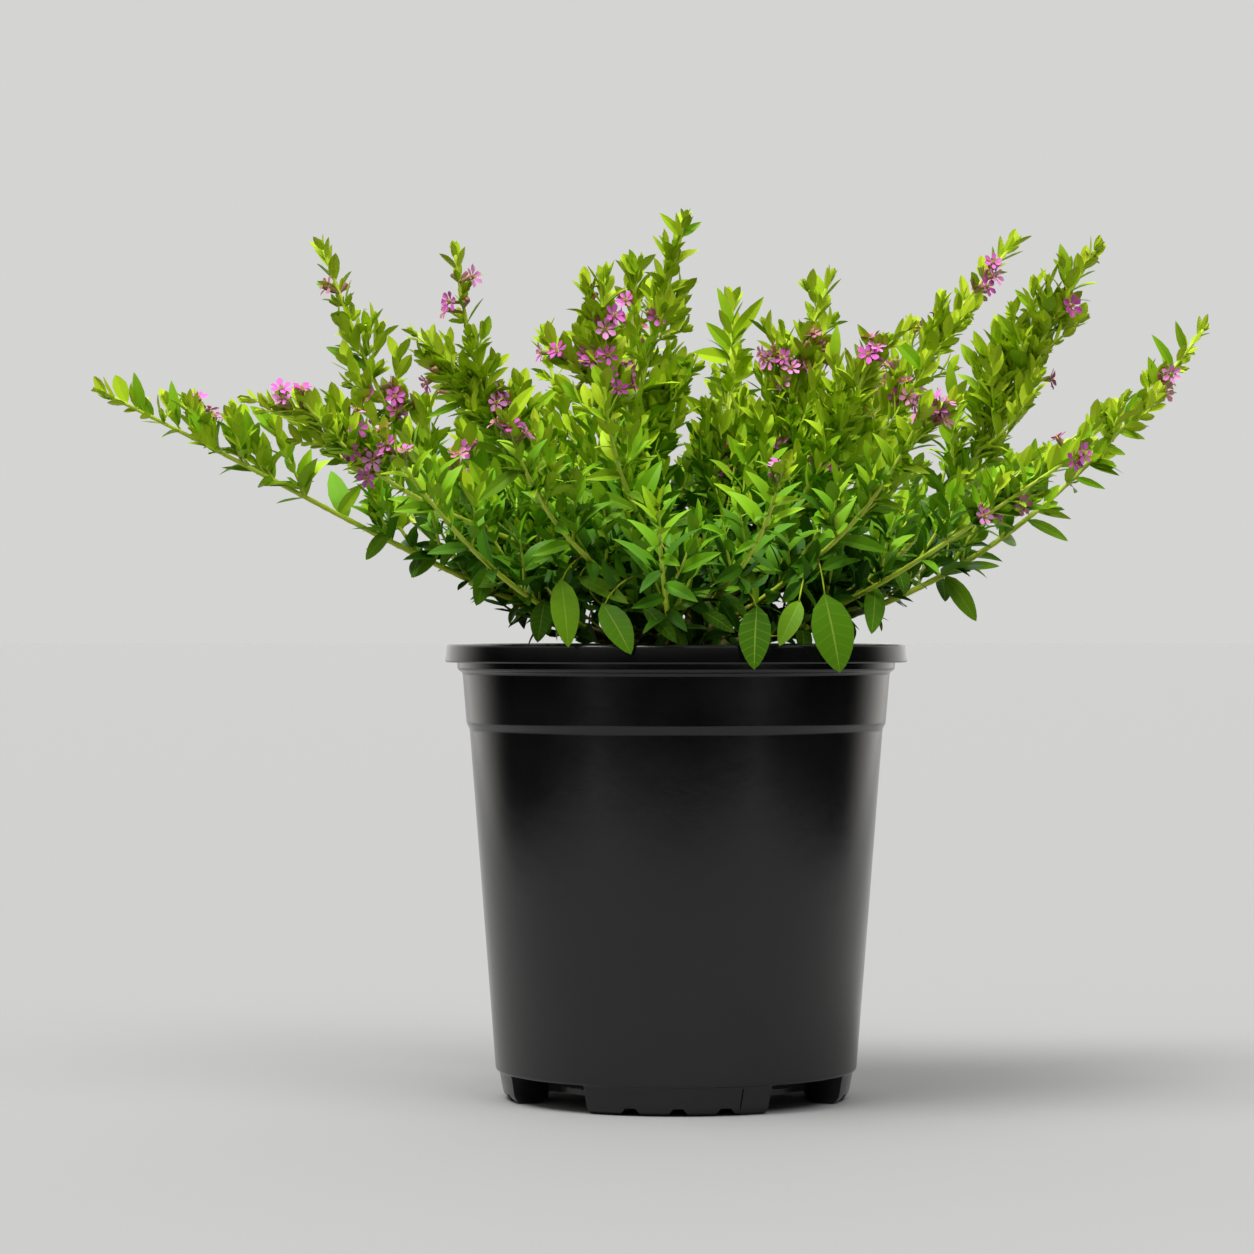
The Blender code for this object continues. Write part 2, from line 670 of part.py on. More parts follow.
class Growth:
    """Grows one mass of foliage from a seeded rule and keeps what fits its own space."""

    def __init__(self, shoot, space, joining, profile):
        self.shoot = shoot
        self.space = space
        self.joining = joining
        self.profile = profile
        self.dice = random.Random(SEED + shoot.number)
        self.leaves = 0
        self.flowers = 0

    def leaf(self, root, heading, outward, spread, length, sag=0.0):
        """One leaf at an angle to its twig, let down by its sag, if it fits."""
        width = length * LEAF_WIDTH_SHARE
        angle = math.radians(spread + self.dice.uniform(-7, 7))
        along = heading * math.cos(angle) + outward * math.sin(angle) - UP * sag
        frame = frame_from(root, along, heading.cross(outward))
        droop = self.dice.uniform(0.10, 0.15)
        if self.space.holds(leaf_samples(frame, length, width, droop)):
            add_leaf(f"leaf_{self.leaves}", frame, length, width, droop, self.joining)
            self.leaves += 1

    def pair(self, root, heading, turn, spread, length, sag=0.0):
        for side in (0, 180):
            self.leaf(root, heading, sideways(heading, turn + side), spread, length, sag)

    def flower(self, root, heading, outward):
        along = lean(heading, outward, FLOWER_LEAN)
        frame = frame_from(root, along, heading.cross(along))
        if self.space.holds(flower_samples(frame)):
            add_flower(f"flower_{self.flowers}", frame, self.joining)
            self.flowers += 1

    def side_twig(self, distance, turn):
        """A twig that leaves the leader at an angle, bends up along it and carries leaves."""
        root = self.shoot.at(distance)
        heading = self.shoot.heading(distance)
        outward = sideways(heading, turn)
        full = min(TWIG_LONGEST, TWIG_SHARE * (self.shoot.length - distance) + TWIG_BASE)
        first = lean(heading, outward, TWIG_FIRST_LEAN)
        last = lean(heading, outward, TWIG_LAST_LEAN)
        for share in TWIG_TRIES:
            length = full * share
            bend = root + first * length * TWIG_BEND
            end = bend + last * length * (1 - TWIG_BEND)
            held = [(root + bend) / 2, bend, (bend + end) / 2, end, end + last * LEAF_TIP_LENGTH / 4]
            if length > TWIG_SHORTEST and self.space.holds(held):
                radii = [TWIG_RADIUS, TWIG_RADIUS * 0.9, TWIG_RADIUS * 0.65]
                tube(f"twig_{distance:.4f}_{turn}", [root, bend, end], radii, self.joining, self.profile)
                self.dress_twig(bend, end, first, last, turn)
                return

    def dress_twig(self, bend, end, first, last, turn):
        """A leaf at the bend, one on the way to the end, and one that carries on past it."""
        length = LEAF_MID_LENGTH * 0.85
        self.leaf(bend, first, sideways(first, turn), 50, length)
        if (end - bend).length > 9 * MM:
            self.leaf((bend + end) / 2, last, sideways(last, turn + 180), 45, length)
        self.leaf(end - last * TWIG_RADIUS * 1.6, last, sideways(last, turn), 10, LEAF_TIP_LENGTH * 1.2)

    def leader(self, start, end):
        places = stretch_places(start, end, LIMB_STEP)
        points = [self.shoot.at(place) for place in places]
        radii = [self.shoot.radius(place) for place in places]
        return tube(f"foliage_{self.shoot.name}", points, radii, self.joining, self.profile)

    def node(self, number, distance, age, turn):
        """A pair of leaves, with a side twig at every other node and a flower between them."""
        root = self.shoot.at(distance)
        heading = self.shoot.heading(distance)
        if age > OLD_AGE:
            self.pair(root, heading, turn, OLD_SPREAD, LEAF_OLD_LENGTH, OLD_SAG)
        else:
            length = LEAF_TIP_LENGTH + (LEAF_MID_LENGTH - LEAF_TIP_LENGTH) * min(1.0, age * 2.2)
            self.pair(root, heading, turn, YOUNG_SPREAD + SPREAD_WITH_AGE * age, length)
        if age > TWIG_AGE and number % 2 == 0:
            self.side_twig(distance + 2.5 * MM, turn + 90 + (180 if number % 4 else 0))
        elif age < FLOWER_AGE and self.flowers < FLOWERS_IN_MASS:
            outward = sideways(heading, turn + self.dice.choice((60, 120, 240)))
            self.flower(root + heading * 3 * MM, heading, outward)

    def bud(self, end, turn):
        """The closed tip: a small pair and the leaf that reaches furthest."""
        root = self.shoot.at(end - TWIG_RADIUS * 2)
        heading = self.shoot.heading(end)
        self.pair(root, heading, turn, 30, LEAF_TIP_LENGTH * 0.75)
        self.leaf(root, heading, sideways(heading, turn + 90), 2, LEAF_BUD_LENGTH)

    def run(self):
        start = self.shoot.bare + (CLEARANCE if self.shoot.bare else 0.0)
        end = self.shoot.length - LEADER_SHORT_OF_TIP
        leader = self.leader(start, end)
        turn = self.dice.choice((0, 45, 90))
        distance = start + FIRST_NODE
        number = 0
        while distance < end - FIRST_NODE:
            age = (end - distance) / (end - start)
            self.node(number, distance, age, turn)
            crowding = TIP_NODE_CROWDING + (1 - TIP_NODE_CROWDING) * min(1.0, age * 2.0)
            if age > OLD_AGE:
                crowding = OLD_NODE_CROWDING
            distance += NODE_STEP * crowding * self.dice.uniform(0.92, 1.08)
            turn += 90
            number += 1
        self.bud(end, turn)
        return leader


def outer_skin(mesh):
    """Keep the outer skin of a fused mass, and drop sealed hollows and loose scraps."""
    shape = bmesh.new()
    shape.from_mesh(mesh)
    left = set(shape.verts)
    shells = []
    while left:
        seed = left.pop()
        shell = {seed}
        edge = [seed]
        while edge:
            corner = edge.pop()
            for link in corner.link_edges:
                other = link.other_vert(corner)
                if other not in shell:
                    shell.add(other)
                    edge.append(other)
        left -= shell
        shells.append(shell)
    keep = max(shells, key=len)
    bmesh.ops.delete(shape, geom=[corner for corner in shape.verts if corner not in keep], context="VERTS")
    shape.to_mesh(mesh)
    shape.free()


def build_mass(shoot, shoots, group, joining, profile, material):
    leader = Growth(shoot, Space(shoot, shoots), joining, profile).run()
    joining.objects.unlink(leader)
    group.objects.link(leader)
    union = leader.modifiers.new("Fuse leaves and twigs", "BOOLEAN")
    union.operation = "UNION"
    union.operand_type = "COLLECTION"
    union.collection = joining
    union.solver = "MANIFOLD"
    mesh = evaluated_mesh(leader)
    leader.modifiers.clear()
    leader.data = mesh
    for item in list(joining.objects):
        bpy.data.objects.remove(item, do_unlink=True)
    outer_skin(mesh)
    mesh.materials.clear()
    mesh.materials.append(material)


def main():
    clear_scene()
    plant = new_collection("cuphea_in_pot")
    cutters = new_collection("cutters")
    joining = new_collection("joining")
    sections = new_collection("sections")
    black_plastic = principled("pot_plastic", (0.022, 0.023, 0.025), 0.42)
    dark_mix = principled("potting_mix", (0.055, 0.038, 0.026), 0.95)
    bark = principled("stem_bark", (0.22, 0.20, 0.07), 0.75)
    leaf_green = principled("foliage", (0.16, 0.36, 0.04), 0.55)
    profile = section_curve("three_sided_section", 3, sections)
    shoots = make_shoots()
    for shoot in shoots:
        if shoot.bare:
            build_stem(shoot, plant, bark)
        build_mass(shoot, shoots, plant, joining, profile, leaf_green)
    bpy.data.objects.remove(profile, do_unlink=True)
    build_crown(plant, bark)
    build_mix(plant, dark_mix)
    build_pot(plant, cutters, black_plastic)


main()
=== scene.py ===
"""The looks of a cuphea in flower in its black nursery pot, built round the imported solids.

Every shoot follows the curve that its solid follows, from its foot on the woody crown to its tip.
Its foliage grows on from the bare stem by the same rule, carried to finer twigs: pairs of leaves,
side twigs, tufts of small leaves in the axils, old leaves near the foot, and blossom. Lengths are
in metres, +Z is up, and the plant is seen from -Y.
"""

import json
import math
import random

import bmesh
import bpy
import numpy as np
from mathutils import Matrix, Vector, noise

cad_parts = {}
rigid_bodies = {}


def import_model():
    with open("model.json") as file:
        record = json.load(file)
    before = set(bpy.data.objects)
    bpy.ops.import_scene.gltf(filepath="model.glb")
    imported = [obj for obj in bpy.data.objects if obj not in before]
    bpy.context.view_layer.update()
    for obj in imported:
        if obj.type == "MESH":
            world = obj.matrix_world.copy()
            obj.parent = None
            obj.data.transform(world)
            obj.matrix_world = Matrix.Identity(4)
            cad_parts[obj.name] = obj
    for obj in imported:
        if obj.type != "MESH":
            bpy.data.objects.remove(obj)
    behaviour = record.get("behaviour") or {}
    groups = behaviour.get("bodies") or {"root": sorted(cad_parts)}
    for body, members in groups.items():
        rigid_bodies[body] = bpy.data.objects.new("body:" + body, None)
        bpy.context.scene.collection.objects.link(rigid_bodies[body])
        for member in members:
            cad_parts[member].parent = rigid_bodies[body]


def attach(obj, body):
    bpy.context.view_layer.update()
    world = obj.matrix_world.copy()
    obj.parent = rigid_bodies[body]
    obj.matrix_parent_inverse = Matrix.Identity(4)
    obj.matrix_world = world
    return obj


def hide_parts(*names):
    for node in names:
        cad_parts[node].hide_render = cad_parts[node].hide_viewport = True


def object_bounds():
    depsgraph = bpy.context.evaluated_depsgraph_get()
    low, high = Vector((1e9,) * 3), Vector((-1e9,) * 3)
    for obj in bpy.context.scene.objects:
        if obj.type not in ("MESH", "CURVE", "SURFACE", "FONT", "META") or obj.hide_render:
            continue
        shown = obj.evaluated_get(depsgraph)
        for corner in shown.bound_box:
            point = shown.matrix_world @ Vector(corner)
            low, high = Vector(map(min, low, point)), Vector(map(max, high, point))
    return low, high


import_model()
cad_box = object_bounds()

MM = 0.001
UP = Vector((0.0, 0.0, 1.0))

# Camera: level, as far off as the photo's perspective says. Pixels are those of the photo
PHOTO_SIZE = 1254
CAMERA_PLACE = Vector((-17.85, -1508.0, 171.1)) * MM
CAMERA_LENS = 118.9
CAMERA_SENSOR = 36.0
PIXELS_AT_AXIS = 4140.0

# Shoots: tip in millimetres, then the angle above level at the foot and at the tip
SHOOTS = {
    "left_low": (-205, -68, 255, 34, 25),
    "left_flower": (-131, -95, 252, 32, 50),
    "left_tall": (-131, 15, 314, 27, 70),
    "left_mid": (-80, -25, 309, 34, 82),
    "left_back": (-95, 80, 285, 40, 62),
    "centre": (4, -10, 323, 66, 76),
    "centre_left": (-27, -55, 296, 58, 88),
    "centre_right": (22, 45, 298, 66, 80),
    "right_mid": (58, 5, 302, 46, 66),
    "right_tall": (129, 40, 317, 36, 48),
    "right_high": (151, -35, 309, 18, 58),
    "right_low": (205, 75, 288, 19, 50),
    "right_front_low": (138, -80, 231, 30, 30),
    "right_inner": (71, -45, 275, 36, 70),
    "right_back": (94, 85, 289, 36, 66),
    "left_centre_back": (-50, 60, 286, 50, 78),
    "front_mid": (34, -150, 227, 30, 46),
    "front_left": (-59, -120, 244, 34, 60),
    "front_centre": (-26, -108, 257, 44, 74),
    "front_right": (84, -105, 248, 30, 58),
    "front_low_left": (-101, -120, 237, 26, 45),
    "front_low": (-8, -165, 212, 24, 34),
    "back_left": (-70, 150, 262, 30, 50),
    "back": (10, 165, 250, 26, 45),
    "back_right": (95, 140, 262, 28, 50),
    "back_left_low": (-150, 110, 254, 34, 30),
    "back_right_low": (158, 118, 248, 30, 42),
    "back_mid": (24, 98, 292, 48, 70),
    "centre_behind": (-17, 34, 309, 74, 84),
}
# Shoots whose foot doesn't face the tip: the compass angle of the foot, from +X towards +Y
FOOT_COMPASS = {"centre": 185, "centre_left": -130, "centre_right": 20, "right_mid": 0}
# A shoot in leaf from the crown up, with no bare stem
LEAFY_FROM_CROWN = "centre_behind"
# Shoots with fewer side twigs than the rest, and their share of them
OPEN_SHOOTS = {
    "front_low": 0.25, "front_mid": 0.35, "front_centre": 0.5, "front_left": 0.5, "front_right": 0.5,
}
# Reach of the handles of a shoot's curve, as shares of the straight line from foot to tip
FOOT_PULL = 0.36
TIP_PULL = 0.42
CURVE_STEPS = 400
PATH_STEP = 1.0 * MM
# The last leaves stand this far past the end of a limb
TIP_LEAF_REACH = 4.5 * MM

# Woody crown
CROWN_RADIUS = 19.0 * MM
CROWN_RISE = 11.0 * MM
CROWN_CENTRE_HEIGHT = 163.0 * MM
CROWN_FLARE_RADIUS = 23.5 * MM
CLEARANCE = 0.3 * MM
# The shoots' feet slide apart over the crown, in rounds, until none is crowded
FOOT_SPACING = 6.6 * MM
LOWEST_FOOT = 1.0 * MM
SETTLING_ROUNDS = 400
SETTLING_PUSH = 0.3
CROWDED = 0.05 * MM

# Limbs
SEED = 73
FOOT_RADIUS = 1.15 * MM
FOOT_RADIUS_PER_LENGTH = 0.003
TIP_RADIUS = 0.62 * MM
TAPER = 0.8
BARE_SHARE_LOW = 0.20
BARE_SHARE_UPRIGHT = 0.13
# Half the stretch over which a limb's direction is taken
HEADING_REACH = 2 * MM
# Tones of a limb: where they start at its tip, and how far they run to brown at its foot
SHOOT_TONE = -0.5
SHOOT_BROWNING = 1.6
LOW_SHOOT_BROWNING = 3.2
TWIG_TONE = -0.3
TWIG_BROWNING = 2.4

# Pot
RIM_TOP = 165.0 * MM
RIM_RADIUS = 84.0 * MM
RIM_FOOT = 158.4 * MM
BEAD_RADIUS = 79.5 * MM
BEAD_BOTTOM = 155.2 * MM
NECK_TOP_RADIUS = 77.7 * MM
NECK_FOOT_RADIUS = 76.2 * MM
NECK_FOOT = 136.2 * MM
BODY_TOP_RADIUS = 75.1 * MM
BODY_TOP = 134.2 * MM
BODY_FOOT_RADIUS = 65.6 * MM
BODY_FOOT = 10.9 * MM
WALL = 1.6 * MM
FLOOR_UNDERSIDE = 4.4 * MM
LUG_TOP = 10.0 * MM
LUG_TOP_RADIUS = 64.3 * MM
LUG_FOOT_RADIUS = 62.8 * MM
LUG_CHAMFER = 2.2 * MM
LUG_INNER_RADIUS = 50.0 * MM
LUG_WALL = 2.0 * MM
WIDE_LUG_HALF_ANGLE = 31.0
NARROW_LUG_HALF_ANGLE = 23.0
NOTCH_PITCH = 16.7 * MM
NOTCH_DEPTH = 2.8 * MM
NOTCH_MOUTH = 7.7 * MM
NOTCH_CREST = 3.5 * MM
DRAIN_WIDTH = 11.0 * MM
DRAIN_HEIGHT = 2.4 * MM
DRAIN_BOTTOM = 6.7 * MM
POT_SEGMENTS = 192

# Potting mix
MIX_HEIGHT = 157.4 * MM
MIX_RADIUS = NECK_TOP_RADIUS - WALL - 0.3 * MM


# Small helpers


def clamped(value, low=0.0, high=1.0):
    return min(max(value, low), high)


def polar(radius, angle):
    return radius * math.cos(angle), radius * math.sin(angle)


def rows_of(points):
    """Vectors as the rows of an array."""
    return np.array([tuple(point) for point in points])


def placed(name, data, collection=None):
    """A new object in a collection, or in the scene's own."""
    item = bpy.data.objects.new(name, data)
    if collection is None:
        collection = bpy.context.scene.collection
    collection.objects.link(item)
    return item


def placed_shape(name, shape, collection=None):
    """A new object from a bmesh, which is used up."""
    mesh = bpy.data.meshes.new(name)
    shape.to_mesh(mesh)
    shape.free()
    return placed(name, mesh, collection)


def add_node(tree, kind, inputs, output, **settings):
    """One output of a new shader node. Its inputs are values, or outputs of other nodes to link."""
    node = tree.nodes.new("ShaderNode" + kind)
    for name, value in settings.items():
        setattr(node, name, value)
    for name, value in inputs.items():
        if isinstance(value, bpy.types.NodeSocket):
            tree.links.new(value, node.inputs[name])
        else:
            node.inputs[name].default_value = value
    return node.outputs[output]


def map_range(tree, value, limits, interpolation="LINEAR"):
    """A value carried from one range to another. limits gives the ends of the first, then of the second."""
    inputs = dict(zip(("From Min", "From Max", "To Min", "To Max"), limits), Value=value)
    return add_node(tree, "MapRange", inputs, "Result", interpolation_type=interpolation)


# Materials


def principled(name, colour, roughness, shine=0.5):
    material = bpy.data.materials.new(name)
    material.use_nodes = True
    shader = material.node_tree.nodes["Principled BSDF"]
    shader.inputs["Base Color"].default_value = (*colour, 1.0)
    shader.inputs["Roughness"].default_value = roughness
    shader.inputs["Specular IOR Level"].default_value = shine
    return material


class Nodes:
    """Short calls that add and link shader nodes in one material."""

    def __init__(self, material):
        self.tree = material.node_tree
        self.shader = self.tree.nodes["Principled BSDF"]
        self.place = add_node(self.tree, "TexCoord", {}, "Object")

    def link(self, out, into):
        self.tree.links.new(out, into)

    def stretched(self, scale):
        return add_node(self.tree, "Mapping", {"Scale": scale, "Vector": self.place}, "Vector")

    def noise(self, scale, detail=3.0, rough=0.55, vector=None):
        inputs = {"Scale": scale, "Detail": detail, "Roughness": rough, "Vector": vector or self.place}
        return add_node(self.tree, "TexNoise", inputs, "Fac")

    def ramp(self, value, stops):
        node = self.tree.nodes.new("ShaderNodeValToRGB")
        ramp = node.color_ramp
        while len(ramp.elements) < len(stops):
            ramp.elements.new(0.5)
        for element, (place, colour) in zip(ramp.elements, stops):
            element.position = place
            element.color = (*colour, 1.0)
        self.link(value, node.inputs["Fac"])
        return node.outputs["Color"]

    def spread(self, value, low, high, bottom=0.0, top=1.0):
        return map_range(self.tree, value, (bottom, top, low, high))

    def mix(self, share, first, second):
        inputs = {"Factor": share, "A": first, "B": second}
        return add_node(self.tree, "Mix", inputs, "Result", data_type="RGBA")

    def finish(self, colour, roughness, bumps):
        """Feed the shader. Each bump, of height, strength and distance, rides on the one before it."""
        self.link(colour, self.shader.inputs["Base Color"])
        self.link(roughness, self.shader.inputs["Roughness"])
        below = {}
        for height, strength, distance in bumps:
            inputs = {"Strength": strength, "Distance": distance, "Height": height, **below}
            below = {"Normal": add_node(self.tree, "Bump", inputs, "Normal")}
        self.link(below["Normal"], self.shader.inputs["Normal"])


def pot_plastic():
    """Satin black polypropylene: a fine moulded grain, faint scuffs and a little dust."""
    material = principled("black_polypropylene", (0.005, 0.0051, 0.0053), 0.2, 0.5)
    nodes = Nodes(material)
    grain = nodes.noise(2600.0, 2.0)
    cloud = nodes.noise(38.0, 4.0)
    scuffs = nodes.noise(1.0, 4.0, 0.6, nodes.stretched((260.0, 260.0, 28.0)))
    dark = nodes.ramp(cloud, [(0.30, (0.0040, 0.0041, 0.0043)), (0.72, (0.0066, 0.0068, 0.0070))])
    dusty = nodes.ramp(cloud, [(0.30, (0.006, 0.0058, 0.0054)), (0.75, (0.011, 0.0107, 0.0100))])
    colour = nodes.mix(nodes.spread(scuffs, 0.0, 0.5, 0.60, 0.86), dark, dusty)
    roughness = nodes.spread(cloud, 0.15, 0.21, 0.3, 0.7)
    nodes.finish(colour, roughness, [(cloud, 0.12, 0.0010), (grain, 0.16, 0.00012)])
    return material


def bark(name, dark, light, grey):
    """Thin bark with fine lengthwise ridges and lichen-grey flecks."""
    material = principled(name, light, 0.7, 0.3)
    nodes = Nodes(material)
    ridges = nodes.noise(1.0, 5.0, 0.65, nodes.stretched((1500.0, 1500.0, 220.0)))
    patches = nodes.noise(150.0, 3.0)
    base = nodes.ramp(ridges, [(0.32, dark), (0.66, light)])
    flecks = nodes.ramp(ridges, [(0.4, light), (0.7, grey)])
    colour = nodes.mix(nodes.spread(patches, 0.0, 0.8, 0.5, 0.75), base, flecks)
    nodes.finish(colour, nodes.spread(ridges, 0.55, 0.85), [(patches, 0.3, 0.0006), (ridges, 0.6, 0.0003)])
    return material


def mix_ground():
    """Moist peat between the chips: near black, with brown fibre."""
    material = principled("peat", (0.03, 0.02, 0.013), 0.95, 0.2)
    nodes = Nodes(material)
    crumbs = nodes.noise(700.0, 5.0, 0.7)
    damp = nodes.noise(60.0, 3.0)
    fibre = nodes.noise(1.0, 3.0, 0.6, nodes.stretched((260.0, 1400.0, 900.0)))
    dark = nodes.ramp(crumbs, [(0.34, (0.010, 0.007, 0.005)), (0.70, (0.052, 0.034, 0.021))])
    light = nodes.ramp(fibre, [(0.42, (0.022, 0.014, 0.009)), (0.66, (0.115, 0.074, 0.042))])
    colour = nodes.mix(nodes.spread(damp, 0.1, 0.75, 0.4, 0.65), dark, light)
    nodes.finish(colour, nodes.spread(damp, 0.65, 0.95), [(damp, 0.4, 0.002), (crumbs, 0.9, 0.0008)])
    return material


# Greens run from the palest tip, partly a painted glow of light through young leaves, to the darkest old
# leaf, darkened further by painted shade low down and deep inside the crown
LEAF_GREENS = [
    (0.480, 0.640, 0.026),
    (0.400, 0.600, 0.016),
    (0.300, 0.520, 0.014),
    (0.210, 0.440, 0.010),
    (0.140, 0.345, 0.007),
    (0.080, 0.235, 0.006),
    (0.050, 0.165, 0.005),
    (0.030, 0.110, 0.004),
]
OLD_LEAF_GREENS = [(0.092, 0.245, 0.005), (0.064, 0.185, 0.004), (0.145, 0.310, 0.007)]
OLD_LEAF_VEIN = (0.125, 0.275, 0.010)
OLD_LEAF_RIB = (0.230, 0.380, 0.035)
# Twig tones, from pale yellow-green to brown: the pale ones are partly the young stems' own colour and partly
# a painted glow of light through them
TWIG_TONES = [
    (0.60, 0.74, 0.08), (0.53, 0.67, 0.05), (0.47, 0.60, 0.030), (0.42, 0.48, 0.02), (0.24, 0.17, 0.03),
]
PETAL_TONES = [(0.720, 0.150, 0.580), (0.620, 0.100, 0.470), (0.780, 0.290, 0.630), (0.540, 0.230, 0.290)]
# Bark: the dark, light and grey tones of a stem, and of the woody crown
STEM_BARK = ((0.095, 0.060, 0.020), (0.290, 0.290, 0.075), (0.330, 0.320, 0.160))
CROWN_BARK = ((0.060, 0.038, 0.022), (0.190, 0.140, 0.085), (0.300, 0.260, 0.190))
CALYX_TONES = [(0.300, 0.360, 0.080), (0.400, 0.240, 0.130), (0.440, 0.150, 0.210)]
ANTHER_TONE = (0.750, 0.560, 0.120)
CHIP_TONES = [(0.030, 0.017, 0.010), (0.068, 0.036, 0.019), (0.110, 0.066, 0.038), (0.016, 0.011, 0.009)]
PERLITE_TONE = (0.62, 0.61, 0.57)
LITTER_TONES = [(0.200, 0.150, 0.040), (0.130, 0.075, 0.030), (0.190, 0.230, 0.040)]


def palette(name, colours, roughness, shine=0.5):
    return [principled(f"{name}_{number}", colour, roughness, shine) for number, colour in enumerate(colours)]


# Joined meshes

# Points this near a blade's middle line carry its crease
RIB_SHARE = 0.06


class Bag:
    """Gathers points and faces, each face with a material's number, and makes one piece of them."""

    def __init__(self):
        self.points = []
        self.faces = []
        self.looks = []
        self.creased = []
        self.count = 0

    def add(self, points, faces, looks, creased=None):
        """Points, and faces that name them by their place among these points."""
        base = self.count
        self.points.append(np.asarray(points, float))
        self.creased.append(np.zeros(len(points), bool) if creased is None else creased)
        self.count += len(points)
        self.more(base, faces, looks)

    def more(self, base, faces, looks):
        """More faces on points that were added from number `base` on."""
        if len(faces):
            self.faces.append(np.asarray(faces, int) + base)
            self.looks.append(np.broadcast_to(np.asarray(looks, int), len(faces)))

    def piece(self, name, materials, slot, nodes, smooth=True):
        mesh = bpy.data.meshes.new(name)
        corners = np.concatenate([faces.ravel() for faces in self.faces])
        sizes = np.concatenate([np.full(len(faces), faces.shape[1]) for faces in self.faces])
        mesh.vertices.add(self.count)
        mesh.vertices.foreach_set("co", np.concatenate(self.points).ravel())
        mesh.loops.add(len(corners))
        mesh.loops.foreach_set("vertex_index", corners.astype(np.int32))
        mesh.polygons.add(len(sizes))
        mesh.polygons.foreach_set("loop_start", (np.cumsum(sizes) - sizes).astype(np.int32))
        mesh.update(calc_edges=True)
        for material in materials:
            mesh.materials.append(material)
        mesh.polygons.foreach_set("material_index", np.concatenate(self.looks).astype(np.int32))
        mesh.polygons.foreach_set("use_smooth", np.full(len(sizes), smooth))
        creased = np.concatenate(self.creased)
        if creased.any():
            ends = np.zeros(len(mesh.edges) * 2, np.int32)
            mesh.edges.foreach_get("vertices", ends)
            sharp = creased[ends].reshape(-1, 2).all(axis=1)
            mesh.attributes.new("sharp_edge", "BOOLEAN", "EDGE").data.foreach_set("value", sharp)
        mesh.update()
        return settle(placed(name, mesh), nodes)


def settle(item, nodes):
    """Hand a finished piece to the frame: its body and the solids it stands for."""
    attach(item, "root")
    if nodes:
        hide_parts(*nodes)
    return item


def outline(skew, fullness):
    """Half the width of a blade by its share of the length. A skew over 1 moves its bulge outwards."""
    def half_width(share):
        return np.sin(np.pi * share ** skew) ** fullness
    return half_width


lanceolate = outline(0.82, 0.85)
blunt = outline(1.12, 0.62)
oblong = outline(1.05, 0.80)
elliptic = outline(0.92, 0.72)
obovate = outline(1.75, 0.62)


def blade_grid(rows, columns):
    """Places (across, along) and faces of a blade whose root and tip are single points."""
    wide = len(columns)
    places = [(0.0, 0.0)] + [(column, row) for row in rows for column in columns] + [(0.0, 1.0)]
    tip = len(places) - 1
    ends = []
    middle = []
    for column in range(wide - 1):
        ends.append((0, column + 2, column + 1))
        ends.append((tip, tip - wide + column, tip - wide + column + 1))
        for row in range(len(rows) - 1):
            corner = 1 + row * wide + column
            middle.append((corner, corner + 1, corner + wide + 1, corner + wide))
    return np.array(places), np.array(ends), np.array(middle)


class Blades:
    """Many leaves or petals of one outline, each a sheet folded along its rib and curled back."""

    def __init__(self, outline, rows, columns=(-1.0, 0.0, 1.0), shear=0.0, ruffle=0.0):
        self.outline = outline
        self.shear = shear
        self.ruffle = ruffle
        self.places, self.ends, self.middle = blade_grid(rows, columns)
        self.entries = []

    def add(self, root, along, face, length, width, curl, fold, look):
        """One blade. Its face is made square to its length here."""
        along = along.normalized()
        across = along.cross(face)
        if across.length < 1e-6:
            across = along.orthogonal()
        across.normalize()
        face = across.cross(along)
        self.entries.append((*root, *along, *across, *face, length, width, curl, fold, look))

    def shapes(self):
        """Points of every blade: blade, corner, axis."""
        data = np.array(self.entries)
        root, along, across, face = (data[:, None, 3 * part:3 * part + 3] for part in range(4))
        length, width, curl, fold = (data[:, None, 12 + part] for part in range(4))
        across_share = self.places[None, :, 0]
        share = self.places[None, :, 1]
        bow = 4.0 * share * (1.0 - share)
        share = share + self.shear * np.abs(across_share) * bow
        half = np.where((share > 0.0) & (share < 1.0), self.outline(np.clip(share, 1e-4, 1 - 1e-4)), 0.0)
        sideways = across_share * half * width / 2
        forward = length * share * (1.0 - (curl * share) ** 2 / 6.0)
        lift = np.abs(sideways) * fold - length * curl * share ** 2 / 2.0
        if self.ruffle:
            dice = np.random.default_rng(len(data))
            lift = lift + dice.normal(0.0, self.ruffle, lift.shape) * width * np.abs(across_share)
        points = sideways[..., None] * across + forward[..., None] * along + lift[..., None] * face
        return root + points

    def fill(self, bag, keep=None, looks_of=None):
        """Put the blades that are kept into a bag. looks_of gives each face its own material."""
        if not self.entries:
            return
        points = self.shapes()
        looks = np.array(self.entries)[:, 16].astype(int)
        if keep is not None:
            kept = keep(points)
            points, looks = points[kept], looks[kept]
        count, corners = points.shape[:2]
        if not count:
            return
        creased = np.tile(np.abs(self.places[:, 0]) < RIB_SHARE, count)
        base = bag.count
        bag.add(points.reshape(-1, 3), *self.dealt(self.ends, looks, corners, looks_of), creased)
        if len(self.middle):
            bag.more(base, *self.dealt(self.middle, looks, corners, looks_of))

    def dealt(self, faces, looks, corners, looks_of):
        """The faces of every blade and the material of each."""
        starts = np.arange(len(looks)) * corners
        everyone = (faces[None] + starts[:, None, None]).reshape(-1, faces.shape[1])
        tones = np.repeat(looks[:, None], len(faces), axis=1)
        if looks_of is not None:
            tones = looks_of(self, faces, tones)
        return everyone, tones.ravel()


